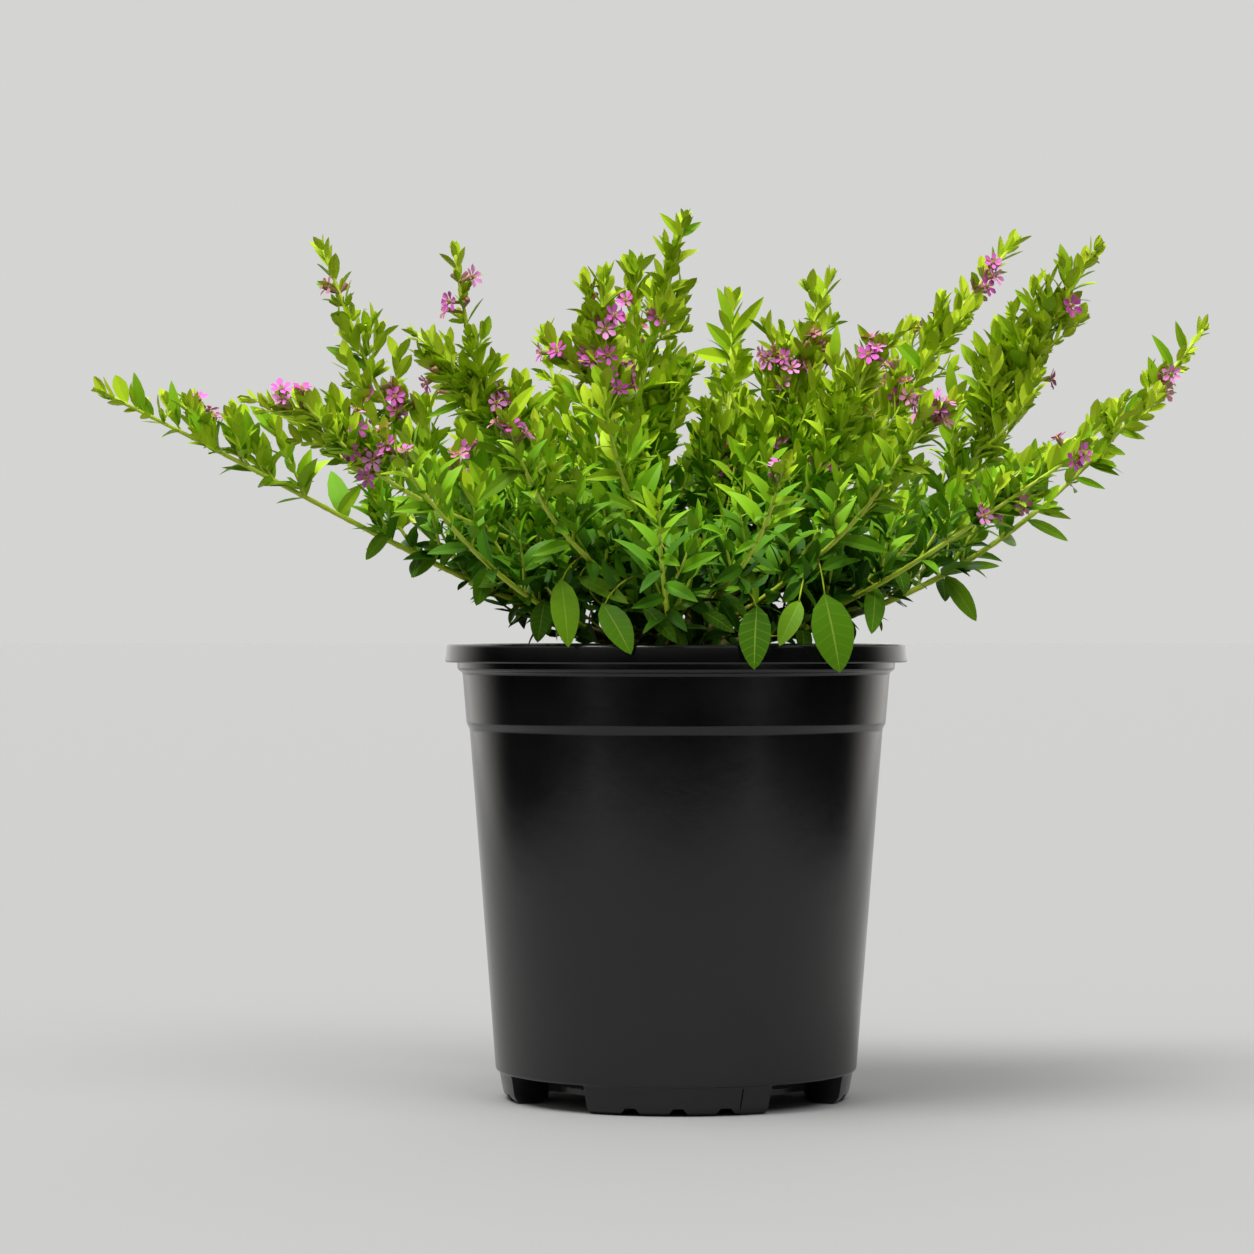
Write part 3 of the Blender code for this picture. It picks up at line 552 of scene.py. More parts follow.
def ring_frames(points):
    """A steady pair of directions square to a path, at each of its points."""
    headings = np.gradient(points, axis=0)
    headings /= np.linalg.norm(headings, axis=1)[:, None]
    side = np.cross(headings[0], (0.13, 0.31, 0.94))
    if np.linalg.norm(side) < 0.1:
        side = np.cross(headings[0], (1.0, 0.0, 0.0))
    sides = []
    for heading in headings:
        side = side - heading * side.dot(heading)
        side /= np.linalg.norm(side)
        sides.append(side)
    sides = np.array(sides)
    return sides, np.cross(headings, sides)


def add_tube(bag, points, radii, sides, looks, relief=None):
    """A closed tube along a path. looks has one material number for each length between rings."""
    points = np.asarray(points, float)
    count = len(points)
    first, second = ring_frames(points)
    angles = np.arange(sides) * 2 * np.pi / sides
    radii = np.asarray(radii, float)[:, None] * np.ones((1, sides))
    if relief is not None:
        radii = radii * relief(points, angles)
    outward = first[:, None] * np.cos(angles)[None, :, None] + second[:, None] * np.sin(angles)[None, :, None]
    rings = points[:, None] + outward * radii[..., None]
    corners = np.vstack([rings.reshape(-1, 3), points[:1], points[-1:]])
    start = (np.arange(count - 1) * sides)[:, None]
    here = np.arange(sides)[None]
    onward = (here + 1) % sides
    walls = np.stack([start + here, start + onward, start + sides + onward, start + sides + here], axis=-1)
    base = bag.count
    bag.add(corners, walls.reshape(-1, 4), np.repeat(np.asarray(looks, int), sides))
    foot = np.array([(count * sides, (side + 1) % sides, side) for side in range(sides)])
    top = (count - 1) * sides
    head = np.array([(count * sides + 1, top + side, top + (side + 1) % sides) for side in range(sides)])
    bag.more(base, np.vstack([foot, head]), np.repeat([looks[0], looks[-1]], sides))


# Shoots: the same curves as the solids


def compass_direction(compass, rise):
    """A unit direction by compass angle from +X towards +Y and angle above level, in degrees."""
    rise = math.radians(rise)
    return Vector((*polar(math.cos(rise), math.radians(compass)), math.sin(rise)))


def crown_point(direction):
    """The point of the crown's ellipsoid, from its middle, whose surface faces a direction."""
    wide = CROWN_RADIUS ** 2
    high = CROWN_RISE ** 2
    along = Vector((wide * direction.x, wide * direction.y, high * direction.z))
    return along / math.sqrt(along.dot(direction))


def crown_facing(point):
    """The direction that the crown's surface faces at one of its points."""
    wide = CROWN_RADIUS ** 2
    return Vector((point.x / wide, point.y / wide, point.z / CROWN_RISE ** 2)).normalized()


def settle_feet(feet):
    """Slide the feet apart over the crown until each has room round it."""
    for _ in range(SETTLING_ROUNDS):
        moves = [Vector() for _ in feet]
        crowded = 0.0
        for first in range(len(feet)):
            for second in range(first):
                apart = feet[first] - feet[second]
                short = FOOT_SPACING - apart.length
                if short > 0:
                    crowded = max(crowded, short)
                    push = apart.normalized() * short * SETTLING_PUSH
                    moves[first] += push
                    moves[second] -= push
        if crowded < CROWDED:
            break
        for index, move in enumerate(moves):
            foot = feet[index] + move
            foot.z = max(foot.z, LOWEST_FOOT)
            size = math.hypot(foot.x, foot.y) / CROWN_RADIUS
            feet[index] = foot / math.hypot(size, foot.z / CROWN_RISE)
    return feet


def curve(start, start_handle, end_handle, end, steps):
    """Points along a curve that leaves its start for one handle and reaches its end from the other."""
    points = []
    for step in range(steps + 1):
        share = step / steps
        left = 1.0 - share
        inner = start_handle * (3 * left * left * share) + end_handle * (3 * left * share * share)
        points.append(start * left ** 3 + inner + end * share ** 3)
    return points


class Axis:
    """A limb or twig: points from its foot to its tip, with its taper and its tones."""

    def __init__(self, points, foot_radius, tip_radius, order, dice):
        self.points = points
        self.length = float(np.linalg.norm(np.diff(points, axis=0), axis=1).sum())
        self.foot_radius = foot_radius
        self.tip_radius = tip_radius
        self.order = order
        self.dice = dice
        self.start = 0.0
        self.vigour = 1.0
        self.browning = TWIG_BROWNING
        self.tone = TWIG_TONE

    def at(self, distance):
        place = clamped(distance / self.length) * (len(self.points) - 1)
        before = min(int(place), len(self.points) - 2)
        share = place - before
        return Vector(self.points[before] * (1 - share) + self.points[before + 1] * share)

    def heading(self, distance):
        return (self.at(distance + HEADING_REACH) - self.at(distance - HEADING_REACH)).normalized()

    def radius(self, distance):
        share = clamped(distance / self.length)
        return self.foot_radius + (self.tip_radius - self.foot_radius) * share ** TAPER


def make_shoot(name, number, foot):
    x, y, z, _, tip_rise = SHOOTS[name]
    facing = crown_facing(foot)
    start = Vector((0.0, 0.0, CROWN_CENTRE_HEIGHT)) + foot + facing * CLEARANCE
    tip = Vector((x, y, z)) * MM
    chord = (tip - start).length
    arrival = compass_direction(math.degrees(math.atan2(tip.y - start.y, tip.x - start.x)), tip_rise)
    handles = (start + facing * chord * FOOT_PULL, tip - arrival * chord * TIP_PULL)
    fine = curve(start, *handles, tip, CURVE_STEPS)
    reach = [0.0]
    for before, after in zip(fine, fine[1:]):
        reach.append(reach[-1] + (after - before).length)
    length = reach[-1]
    even = np.linspace(0.0, length, int(length / PATH_STEP) + 1)
    points = np.stack([np.interp(even, reach, column) for column in rows_of(fine).T], axis=1)
    points = points[:-round(TIP_LEAF_REACH / PATH_STEP)]
    foot_radius = FOOT_RADIUS + FOOT_RADIUS_PER_LENGTH * length
    shoot = Axis(points, foot_radius, TIP_RADIUS, 0, random.Random(SEED + number))
    level = math.hypot(tip.x, tip.y) / (tip - Vector((0.0, 0.0, CROWN_CENTRE_HEIGHT))).length
    shoot.start = length * (BARE_SHARE_UPRIGHT + (BARE_SHARE_LOW - BARE_SHARE_UPRIGHT) * level ** 3)
    if name == LEAFY_FROM_CROWN:
        shoot.start = 0.0
    shoot.name = name
    shoot.vigour = OPEN_SHOOTS.get(name, 1.0)
    shoot.browning = SHOOT_BROWNING + LOW_SHOOT_BROWNING * level ** 4
    shoot.tone = SHOOT_TONE
    return shoot


def make_shoots():
    feet = []
    for name, (x, y, _, foot_rise, _) in SHOOTS.items():
        compass = FOOT_COMPASS.get(name, math.degrees(math.atan2(y, x)))
        feet.append(crown_point(compass_direction(compass, foot_rise)))
    feet = settle_feet(feet)
    return [make_shoot(name, number, feet[number]) for number, name in enumerate(SHOOTS)]


# Room for twigs and leaves

LOW_CORNER = np.array(cad_box[0])
HIGH_CORNER = np.array(cad_box[1])
# Room left round the pot, and over the potting mix
POT_ROOM = 0.4 * MM
MIX_ROOM = 1.5 * MM
# Shares of its length that a leaf is cut back to where its end lacks room, tried in turn
LEAF_CUTS = (1.0, 0.8, 0.62)
SHORTEST_LEAF_SHARE = 0.5
# A blade's points reach this much past its length
BLADE_REACH = 1.06


def pixel_size(depth):
    """Size in metres of a pixel of the photo at a depth, given as its Y."""
    return (depth - CAMERA_PLACE.y) / PIXELS_AT_AXIS


def photo_point(place):
    """The pixel of the photo at which a place, given as its X, Y and Z, would show."""
    size = pixel_size(place[1])
    across = PHOTO_SIZE / 2 + (place[0] - CAMERA_PLACE.x) / size
    return across, PHOTO_SIZE / 2 - (place[2] - CAMERA_PLACE.z) / size


def from_photo(across, down, depth):
    """The point at a depth that shows at a pixel of the photo."""
    size = pixel_size(depth)
    x = CAMERA_PLACE.x + (across - PHOTO_SIZE / 2) * size
    return Vector((x, depth, CAMERA_PLACE.z - (down - PHOTO_SIZE / 2) * size))


# The crown's outline in the photo, in its pixels: its upper edge, its lower edge on either side of the pot,
# and the deep gaps between shoots. Leaves and twigs keep to it, give or take EDGE_SLACK.
UPPER_EDGE = np.array([
    (90, 386), (108, 368), (156, 385), (208, 389), (246, 393), (274, 394), (302, 384), (306, 256),
    (320, 236), (350, 262), (374, 302), (390, 322), (412, 325), (424, 340), (438, 305), (443, 250),
    (456, 241), (484, 280), (488, 345), (502, 346), (512, 366), (544, 322), (562, 310), (580, 271),
    (608, 262), (622, 252), (644, 253), (660, 211), (684, 206), (702, 220), (704, 321), (720, 287),
    (766, 296), (770, 320), (792, 334), (802, 274), (834, 265), (846, 300), (862, 338), (888, 338),
    (914, 316), (934, 316), (940, 297), (976, 272), (984, 250), (1016, 230), (1032, 238), (1036, 277),
    (1048, 276), (1074, 233), (1106, 238), (1110, 405), (1142, 384), (1154, 333), (1196, 312), (1214, 322),
])
LOWER_EDGE = np.array([
    (90, 394), (126, 402), (134, 418), (184, 445), (222, 470), (258, 492), (306, 512), (320, 524),
    (334, 528), (362, 540), (368, 556), (390, 554), (404, 564), (410, 574), (438, 576), (466, 586),
    (472, 600), (486, 600), (498, 606), (508, 602), (514, 680), (866, 680), (890, 606), (934, 588),
    (950, 612), (976, 622), (988, 566), (1012, 562), (1030, 541), (1074, 543), (1078, 497), (1120, 472),
    (1154, 406), (1182, 397), (1190, 350), (1214, 328),
])
GAPS = [
    [(1112, 245), (1100, 264), (1097, 300), (1094, 324), (1068, 338), (1044, 362), (1058, 370), (1058, 390),
     (1038, 404), (1022, 422), (1012, 440), (1030, 432), (1056, 438), (1074, 436), (1084, 414), (1098, 392),
     (1124, 386), (1138, 374), (1143, 350), (1154, 328)],
    [(1036, 246), (1011, 274), (1006, 297), (981, 316), (963, 338), (966, 342), (982, 304), (996, 295),
     (1008, 300), (1014, 286), (1024, 271), (1038, 271)],
]
EDGE_SLACK = 6


def inside(across, down, corners):
    """Whether each pixel lies in a polygon."""
    result = np.zeros(np.shape(across), bool)
    for (x0, y0), (x1, y1) in zip(corners, corners[1:] + corners[:1]):
        if y0 != y1:
            spans = (down < y0) != (down < y1)
            result ^= spans & (across < x0 + (down - y0) * (x1 - x0) / (y1 - y0))
    return result


def open_in_photo(points):
    """Whether each point would show where the photo has nothing of the plant."""
    across, down = photo_point(np.moveaxis(points, -1, 0))
    shifts = (-EDGE_SLACK, 0, EDGE_SLACK)
    upper = np.min([np.interp(across + shift, *UPPER_EDGE.T) for shift in shifts], axis=0)
    lower = np.max([np.interp(across + shift, *LOWER_EDGE.T) for shift in shifts], axis=0)
    result = (down < upper - EDGE_SLACK) | (down > lower + EDGE_SLACK)
    for corners in GAPS:
        result |= inside(across, down, corners)
    return result


def has_room(points):
    """Whether each point is inside the solids' box and the photo's outline, clear of pot and potting mix."""
    inside_box = np.all((points > LOW_CORNER) & (points < HIGH_CORNER), axis=-1)
    radius = np.hypot(points[..., 0], points[..., 1])
    above = points[..., 2] > RIM_TOP + POT_ROOM
    outside = radius > RIM_RADIUS + POT_ROOM
    within = (radius < NECK_TOP_RADIUS - WALL - POT_ROOM) & (points[..., 2] > MIX_HEIGHT + MIX_ROOM)
    return inside_box & (above | outside | within) & ~open_in_photo(points)


def whole_blade_has_room(points):
    return has_room(points).all(axis=1)


def fitted(root, along, length):
    """A leaf's length, cut back where its end would lack room."""
    along = along.normalized()
    for share in LEAF_CUTS:
        if has_room(np.array(root + along * length * share * BLADE_REACH)):
            return length * share
    return length * SHORTEST_LEAF_SHARE


# Growth

# Under SHADE_TOP the crown falls into shade, where leaves are longer and further apart
SHADE_TOP = 238.0 * MM
SHADE_DEPTH = 55.0 * MM
# Under DARK_TOP leaves darken with painted shade, and so they do towards the middle of the crown, from
# CROWN_REACH inwards
DARK_TOP = 252.0 * MM
DARK_DEPTH = 74.0 * MM
CROWN_REACH = 165.0 * MM
# A leaf's number in LEAF_GREENS: at a tip, pale partly as a painted glow, and what age, the inside of the
# crown and a low place add to it, the last two as painted shade
TIP_TONE = 0.1
AGE_TONE = 0.8
FULL_AGE = 60.0 * MM
INSIDE_TONE = 0.8
LOW_INSIDE_TONE = 2.8
LOW_TONE = 4.7
TONE_SCATTER = 0.8

# Leaves of a shoot, a side twig and a spur: length near the tip, gain per length of limb, and the longest
TIP_LEAF = 9.4 * MM
LEAF_PER_LENGTH = 0.14
LONGEST_LEAF = (19.0 * MM, 14.0 * MM, 11.0 * MM)
LOW_LEAF_GAIN = 0.35
LEAF_SIZES = (0.85, 1.1)
LEAF_WIDTHS = (0.27, 0.36)
LEAF_FOLDS = (0.2, 0.45)
LEAF_CURLS = (0.5, 1.15)
# Shorter leaves are young: a little wider, and flat or still closed round the tip
YOUNG_LEAF = 11.8 * MM
YOUNG_WIDTH_GAIN = 0.12
YOUNG_CURLS = (-0.1, 0.45)
CLOSED_CURLS = (-0.3, 0.15)
CLOSED_REACH = 12 * MM
# Degrees by which a leaf stands off its limb, near the tip and at most, and its wobble
TIP_SPREAD = 25.0
WIDEST_SPREAD = 56.0
SPREAD_PER_MM = 0.72
SPREAD_WOBBLE = 8
LEAF_TWIST = 0.75
PAIR_WOBBLE = 14
# Leaves of a tuft: length near the tip, gain per length of limb, the longest, and shares of that
TUFT_COUNTS = (3, 4, 4, 5)
TUFT_LEAF = 4.6 * MM
TUFT_LEAF_PER_LENGTH = 0.075
LONGEST_TUFT_LEAF = 10.0 * MM
TUFT_SIZES = (0.7, 1.15)
TUFT_WIDTHS = (0.34, 0.48)
TUFT_SPREADS = (8, 34)
# Millimetres from the tip where tufts begin and over which they grow frequent, and their frequency at most
TUFTS_FROM = 8.0
TUFTS_OVER = 22.0
MOST_TUFTS = 1.0
FEWER_TUFTS_FROM = 60 * MM
FEWER_TUFTS = 0.55
# The bud: the length of its first leaf in millimetres, what each next one loses, and what the outer two gain
BUD_LEAVES = 6
BUD_INNER_LEAVES = 4
BUD_LEAF = 5.6
BUD_LEAF_LOSS = 0.5
OUTER_BUD_LEAF_GAIN = 1.6
BUD_LEAF_WIDTH = 0.46
BUD_SPREADS = (6, 22)

# Gaps between pairs of leaves: at the tip, gain per length of limb, and the longest by order of limb
SHORTEST_GAP = 2.9 * MM
GAP_PER_LENGTH = 0.105
LONGEST_GAP = (13.5 * MM, 8.5 * MM, 5.5 * MM)
LOW_GAP_GAIN = 0.4
FIRST_PAIR = (4.0 * MM, 3.2 * MM)
LAST_PAIR = 1.0 * MM
# The oldest part of a shoot, as a share of its length: old leaves stand there, closer together
OLD_WOOD_SHARE = 0.72
OLD_WOOD_GAP = 8.0 * MM
OLD_PAIR_CHANCE = 0.45
OLD_LEAF_LENGTHS = (15.0, 23.0)

# Side twigs on shoots and spurs on side twigs: distance from the tip, chance, longest, and share of the
# length that is left to the tip
SIDE_TWIG_FROM = 32 * MM
SIDE_TWIG_CHANCES = (0.28, 0.62)
SIDE_TWIG_LONGEST = 62.0 * MM
SIDE_TWIG_SHARE = 0.42
SPUR_FROM = 14 * MM
SPUR_CHANCES = (0.20, 0.32)
SPUR_LONGEST = 24.0 * MM
SPUR_SHARE = 0.45
TWIG_CUTS = (1.0, 0.8, 0.62, 0.48)
TWIG_SHORTEST = 7.0 * MM
TWIG_STEP = 3.0 * MM
TWIG_RADIUS = 0.45 * MM
TWIG_RADIUS_PER_LENGTH = 0.011
TWIG_TO_PARENT = 0.72
TWIG_TIP_RADIUS = 0.36 * MM

# Old leaves: bands of blade between narrow side veins, and a rib down the middle
OLD_COLUMNS = (-1.0, -0.55, -0.045, 0.045, 0.55, 1.0)
OLD_SHEAR = 0.13
OLD_BANDS = 7
OLD_VEIN = 0.014
OLD_ROWS = tuple(
    row for band in range(1, OLD_BANDS + 1)
    for row in (band / (OLD_BANDS + 1) - OLD_VEIN / 2, band / (OLD_BANDS + 1) + OLD_VEIN / 2)
)
OLD_VEIN_LOOK = len(OLD_LEAF_GREENS)
OLD_RIB_LOOK = OLD_VEIN_LOOK + 1


def old_blades():
    return Blades(elliptic, OLD_ROWS, OLD_COLUMNS, shear=OLD_SHEAR)


def old_leaf_looks(blades, faces, tones):
    """Blade, vein or rib for each face of the old leaves."""
    across = blades.places[faces, 0]
    along = blades.places[faces, 1]
    rib = np.abs(across).max(axis=1) < 0.1
    vein = (along.max(axis=1) - along.min(axis=1)) < OLD_VEIN * 1.5
    tones = np.where(vein[None], OLD_VEIN_LOOK, tones)
    return np.where(rib[None], OLD_RIB_LOOK, tones)


def sideways(heading, turn):
    """A direction square to a heading, turned round it from the one nearest to level."""
    level = heading.cross(UP)
    if level.length < 0.05:
        level = Vector((1.0, 0.0, 0.0))
    return Matrix.Rotation(math.radians(turn), 3, heading) @ level.normalized()


def both_sides(heading, turn):
    return [sideways(heading, turn), sideways(heading, turn + 180)]


def tilted(heading, outward, degrees):
    """The heading, tilted towards a direction square to it."""
    angle = math.radians(degrees)
    return heading * math.cos(angle) + outward * math.sin(angle)


def bent_path(root, first, last, length):
    """A path that leaves along one direction and swings to another."""
    count = max(4, round(length / TWIG_STEP))
    shares = ((np.arange(count) + 0.5) / count)[:, None]
    turns = np.array(first)[None] * (1 - shares) + np.array(last)[None] * shares
    turns /= np.linalg.norm(turns, axis=1)[:, None]
    steps = np.cumsum(turns, axis=0) * (length / count)
    return np.vstack([np.array(root)[None], np.array(root)[None] + steps])


def shade(place):
    """0 high in the crown and 1 low down."""
    return clamped((SHADE_TOP - place.z) / SHADE_DEPTH)


def in_front(outward):
    """How far a leaf would stand between its stem and someone in front of the plant, from 0 to 1."""
    return clamped((-outward.y - 0.74) / 0.2)


def underside(heading, outward):
    """0 beside, above or on an upright limb, and up to 0.6 straight under a level one."""
    return 0.6 * max(-outward.z, 0.0) * (1.0 - max(heading.z, 0.0))


def leaf_green(dice, left, root):
    """Number of a leaf's green: pale near tips and outside, partly a painted glow at the tips, and dark low
    down and deep inside the crown, where the darkening is painted shade.
    """
    # Painted shade: leaves deep inside the crown and low down get darker greens
    deep = 1.0 - min(1.0, math.hypot(root.x, root.y, (root.z - RIM_TOP) * 1.1) / CROWN_REACH)
    low = clamped((DARK_TOP - root.z) / DARK_DEPTH)
    tone = TIP_TONE + AGE_TONE * min(1.0, left / FULL_AGE) + (INSIDE_TONE + LOW_INSIDE_TONE * low) * deep
    tone += LOW_TONE * low
    tone += dice.gauss(0.0, TONE_SCATTER)
    return clamped(int(tone), 0, len(LEAF_GREENS) - 1)


def twig_radius(parent, distance, length):
    return min(parent.radius(distance) * TWIG_TO_PARENT, TWIG_RADIUS + length * TWIG_RADIUS_PER_LENGTH)


class Foliage:
    """The twigs, leaves and flower sites of one part of the crown, and the solids they stand for."""

    def __init__(self):
        self.nodes = []
        self.twigs = []
        self.leaves = Blades(lanceolate, (0.10, 0.26, 0.48, 0.72, 0.90))
        self.young = Blades(oblong, (0.13, 0.36, 0.64, 0.86))
        self.leaflets = Blades(blunt, (0.32, 0.80))
        self.old = old_blades()
        self.sites = []

    def leaf(self, axis, root, heading, outward, left, spread, length, share):
        dice = axis.dice
        lift = 0.5 * (1.0 - max(heading.z, 0.0)) * (1.0 + outward.z)
        along = tilted(heading, outward, spread + dice.uniform(-SPREAD_WOBBLE, SPREAD_WOBBLE)) + UP * lift
        twist = heading.cross(outward) * dice.uniform(-LEAF_TWIST, LEAF_TWIST)
        face = heading * 0.6 + UP * 0.45 - outward * 0.2 + twist
        length = fitted(root, along, length)
        fold = dice.uniform(*LEAF_FOLDS)
        look = leaf_green(dice, left, root)
        if length < YOUNG_LEAF:
            curl = dice.uniform(*(YOUNG_CURLS if left > CLOSED_REACH else CLOSED_CURLS))
            self.young.add(root, along, face, length, length * (share + YOUNG_WIDTH_GAIN), curl, fold, look)
        else:
            curl = dice.uniform(*LEAF_CURLS) * (1.0 - 0.7 * max(-outward.z, 0.0))
            self.leaves.add(root, along, face, length, length * share, curl, fold, look)

    def tuft(self, axis, root, heading, outward, left):
        """A few small narrow leaves crowded in an axil."""
        dice = axis.dice
        middle = (heading * 0.75 + outward * 0.8 + UP * 0.25).normalized()
        count = dice.choice(TUFT_COUNTS)
        size = min(TUFT_LEAF + left * TUFT_LEAF_PER_LENGTH, LONGEST_TUFT_LEAF)
        for number in range(count):
            side = sideways(middle, number * 360.0 / count + dice.uniform(-20, 20))
            along = tilted(middle, side, dice.uniform(*TUFT_SPREADS))
            length = size * dice.uniform(*TUFT_SIZES)
            look = leaf_green(dice, left * 0.5, root)
            stand = root + middle * dice.uniform(0.3, 1.6) * MM
            face = middle * 0.6 + sideways(middle, dice.uniform(0, 360)) * 0.8
            self.leaflets.add(stand, along, face, fitted(stand, along, length),
                              length * dice.uniform(*TUFT_WIDTHS), dice.uniform(0.1, 0.8), 0.3, look)

    def side_twig(self, axis, distance, outward, length):
        """A twig that swings up along its parent. Shortened until it fits."""
        dice = axis.dice
        heading = axis.heading(distance)
        root = axis.at(distance)
        first = heading * 0.72 + outward * dice.uniform(0.55, 0.95) + UP * 0.12
        last = heading * 0.55 + outward * dice.uniform(0.05, 0.35) + UP * dice.uniform(0.45, 0.8)
        for cut in TWIG_CUTS:
            size = length * cut
            if size < TWIG_SHORTEST:
                return False
            path = bent_path(root, first.normalized(), last.normalized(), size)
            tip = path[-1] + (path[-1] - path[-2]) / TWIG_STEP * 5.0 * MM
            if has_room(np.vstack([path[1:], tip])).all():
                radius = twig_radius(axis, distance, size)
                twig = Axis(path, radius, TWIG_TIP_RADIUS, axis.order + 1, random.Random(dice.random()))
                twig.vigour = axis.vigour
                self.grow(twig)
                return True
        return False

    def old_pair(self, axis, root, heading, sides, length):
        dice = axis.dice
        for outward in sides:
            along = tilted(heading, outward, dice.uniform(58, 82)) - UP * dice.uniform(0.0, 0.5)
            face = UP * 0.9 + heading * 0.3
            size = length * dice.uniform(0.8, 1.1) * (1.0 - 0.5 * max(-outward.z, 0.0))
            look = dice.choice((0, 0, 1, 1))
            self.old.add(root, along, face, size, size * dice.uniform(0.40, 0.50), dice.uniform(0.3, 0.9),
                         dice.uniform(0.05, 0.25), look)

    def grow(self, axis):
        """Dress an axis with nodes from its first leaf to its tip."""
        self.twigs.append(axis)
        dice = axis.dice
        order = min(axis.order, 2)
        first_turn = dice.choice((45, 135))
        node = 0
        distance = axis.start + FIRST_PAIR[min(order, 1)]
        while distance < axis.length - LAST_PAIR:
            left = axis.length - distance
            root = axis.at(distance)
            heading = axis.heading(distance)
            sides = both_sides(heading, first_turn + 90 * node + dice.uniform(-PAIR_WOBBLE, PAIR_WOBBLE))
            low = shade(root)
            length = min(TIP_LEAF + left * LEAF_PER_LENGTH, LONGEST_LEAF[order])
            length = length * dice.uniform(*LEAF_SIZES) * (1.0 + LOW_LEAF_GAIN * low)
            spread = min(TIP_SPREAD + left / MM * SPREAD_PER_MM, WIDEST_SPREAD)
            old_wood = order == 0 and left / max(axis.length - axis.start, MM) > OLD_WOOD_SHARE
            if old_wood and dice.random() < OLD_PAIR_CHANCE:
                self.old_pair(axis, root, heading, sides, dice.uniform(*OLD_LEAF_LENGTHS) * MM)
            else:
                for outward in sides:
                    size = length * (1.0 - 1.3 * underside(heading, outward))
                    size *= 1.0 - 0.4 * in_front(outward)
                    self.leaf(axis, root, heading, outward, left, spread, size, dice.uniform(*LEAF_WIDTHS))
            for outward in sides:
                self.axil(axis, distance, root, heading, outward, left)
            longest = OLD_WOOD_GAP if old_wood else LONGEST_GAP[order]
            gap = min(SHORTEST_GAP + left * GAP_PER_LENGTH, longest) * (1.0 + LOW_GAP_GAIN * low)
            distance += gap * dice.uniform(0.9, 1.1)
            node += 1
        self.bud(axis)

    def axil(self, axis, distance, root, heading, outward, left):
        """What stands in a leaf's axil: a twig, a spur, a tuft or nothing."""
        dice = axis.dice
        upward = 0.5 + 0.5 * outward.z if heading.z < 0.8 else 0.6
        upward *= axis.vigour
        under = underside(heading, outward)
        chance = dice.random() + 2.0 * under - 0.5 * max(outward.z, 0.0) * (1.0 - max(heading.z, 0.0))
        length = 0.0
        if axis.order == 0 and left > SIDE_TWIG_FROM:
            if chance < SIDE_TWIG_CHANCES[0] + SIDE_TWIG_CHANCES[1] * upward:
                length = min(SIDE_TWIG_LONGEST, SIDE_TWIG_SHARE * left) * dice.uniform(0.55, 1.05)
        elif axis.order == 1 and left > SPUR_FROM:
            if chance < SPUR_CHANCES[0] + SPUR_CHANCES[1] * upward:
                length = min(SPUR_LONGEST, SPUR_SHARE * left) * dice.uniform(0.6, 1.0)
        if length and self.side_twig(axis, distance, outward, length):
            return
        if left > 6 * MM and under < 0.15:
            most = MOST_TUFTS if left < FEWER_TUFTS_FROM else FEWER_TUFTS
            crowding = clamped((left / MM - TUFTS_FROM) / TUFTS_OVER, 0.0, most)
            crowding *= (0.3 + 0.7 * axis.vigour) * (1.0 - 0.6 * in_front(outward))
            if dice.random() < crowding:
                self.tuft(axis, root, heading, outward, left)
            if axis.order < 2:
                self.sites.append((root, heading, outward, left))

    def bud(self, axis):
        """The tip: small leaves still folded upright round the growing point."""
        dice = axis.dice
        end = axis.length - 1.4 * MM
        root = axis.at(end)
        heading = axis.heading(end)
        for number in range(BUD_LEAVES):
            outer = number // BUD_INNER_LEAVES
            outward = sideways(heading, number * 90 + 45 * outer + dice.uniform(-12, 12))
            length = BUD_LEAF - BUD_LEAF_LOSS * number + OUTER_BUD_LEAF_GAIN * outer
            length = length * dice.uniform(0.9, 1.15) * MM
            along = tilted(heading, outward, dice.uniform(*BUD_SPREADS) + 10 * outer)
            # The palest greens: the young leaves' own colour, partly a painted glow of light through them
            look = 0 if dice.random() < 0.6 else 1
            length = fitted(root, along, length)
            width = length * BUD_LEAF_WIDTH
            self.leaflets.add(root, along, heading - outward * 0.6, length, width, -0.2, 0.5, look)


# Twigs and leaves that stand out in the photo

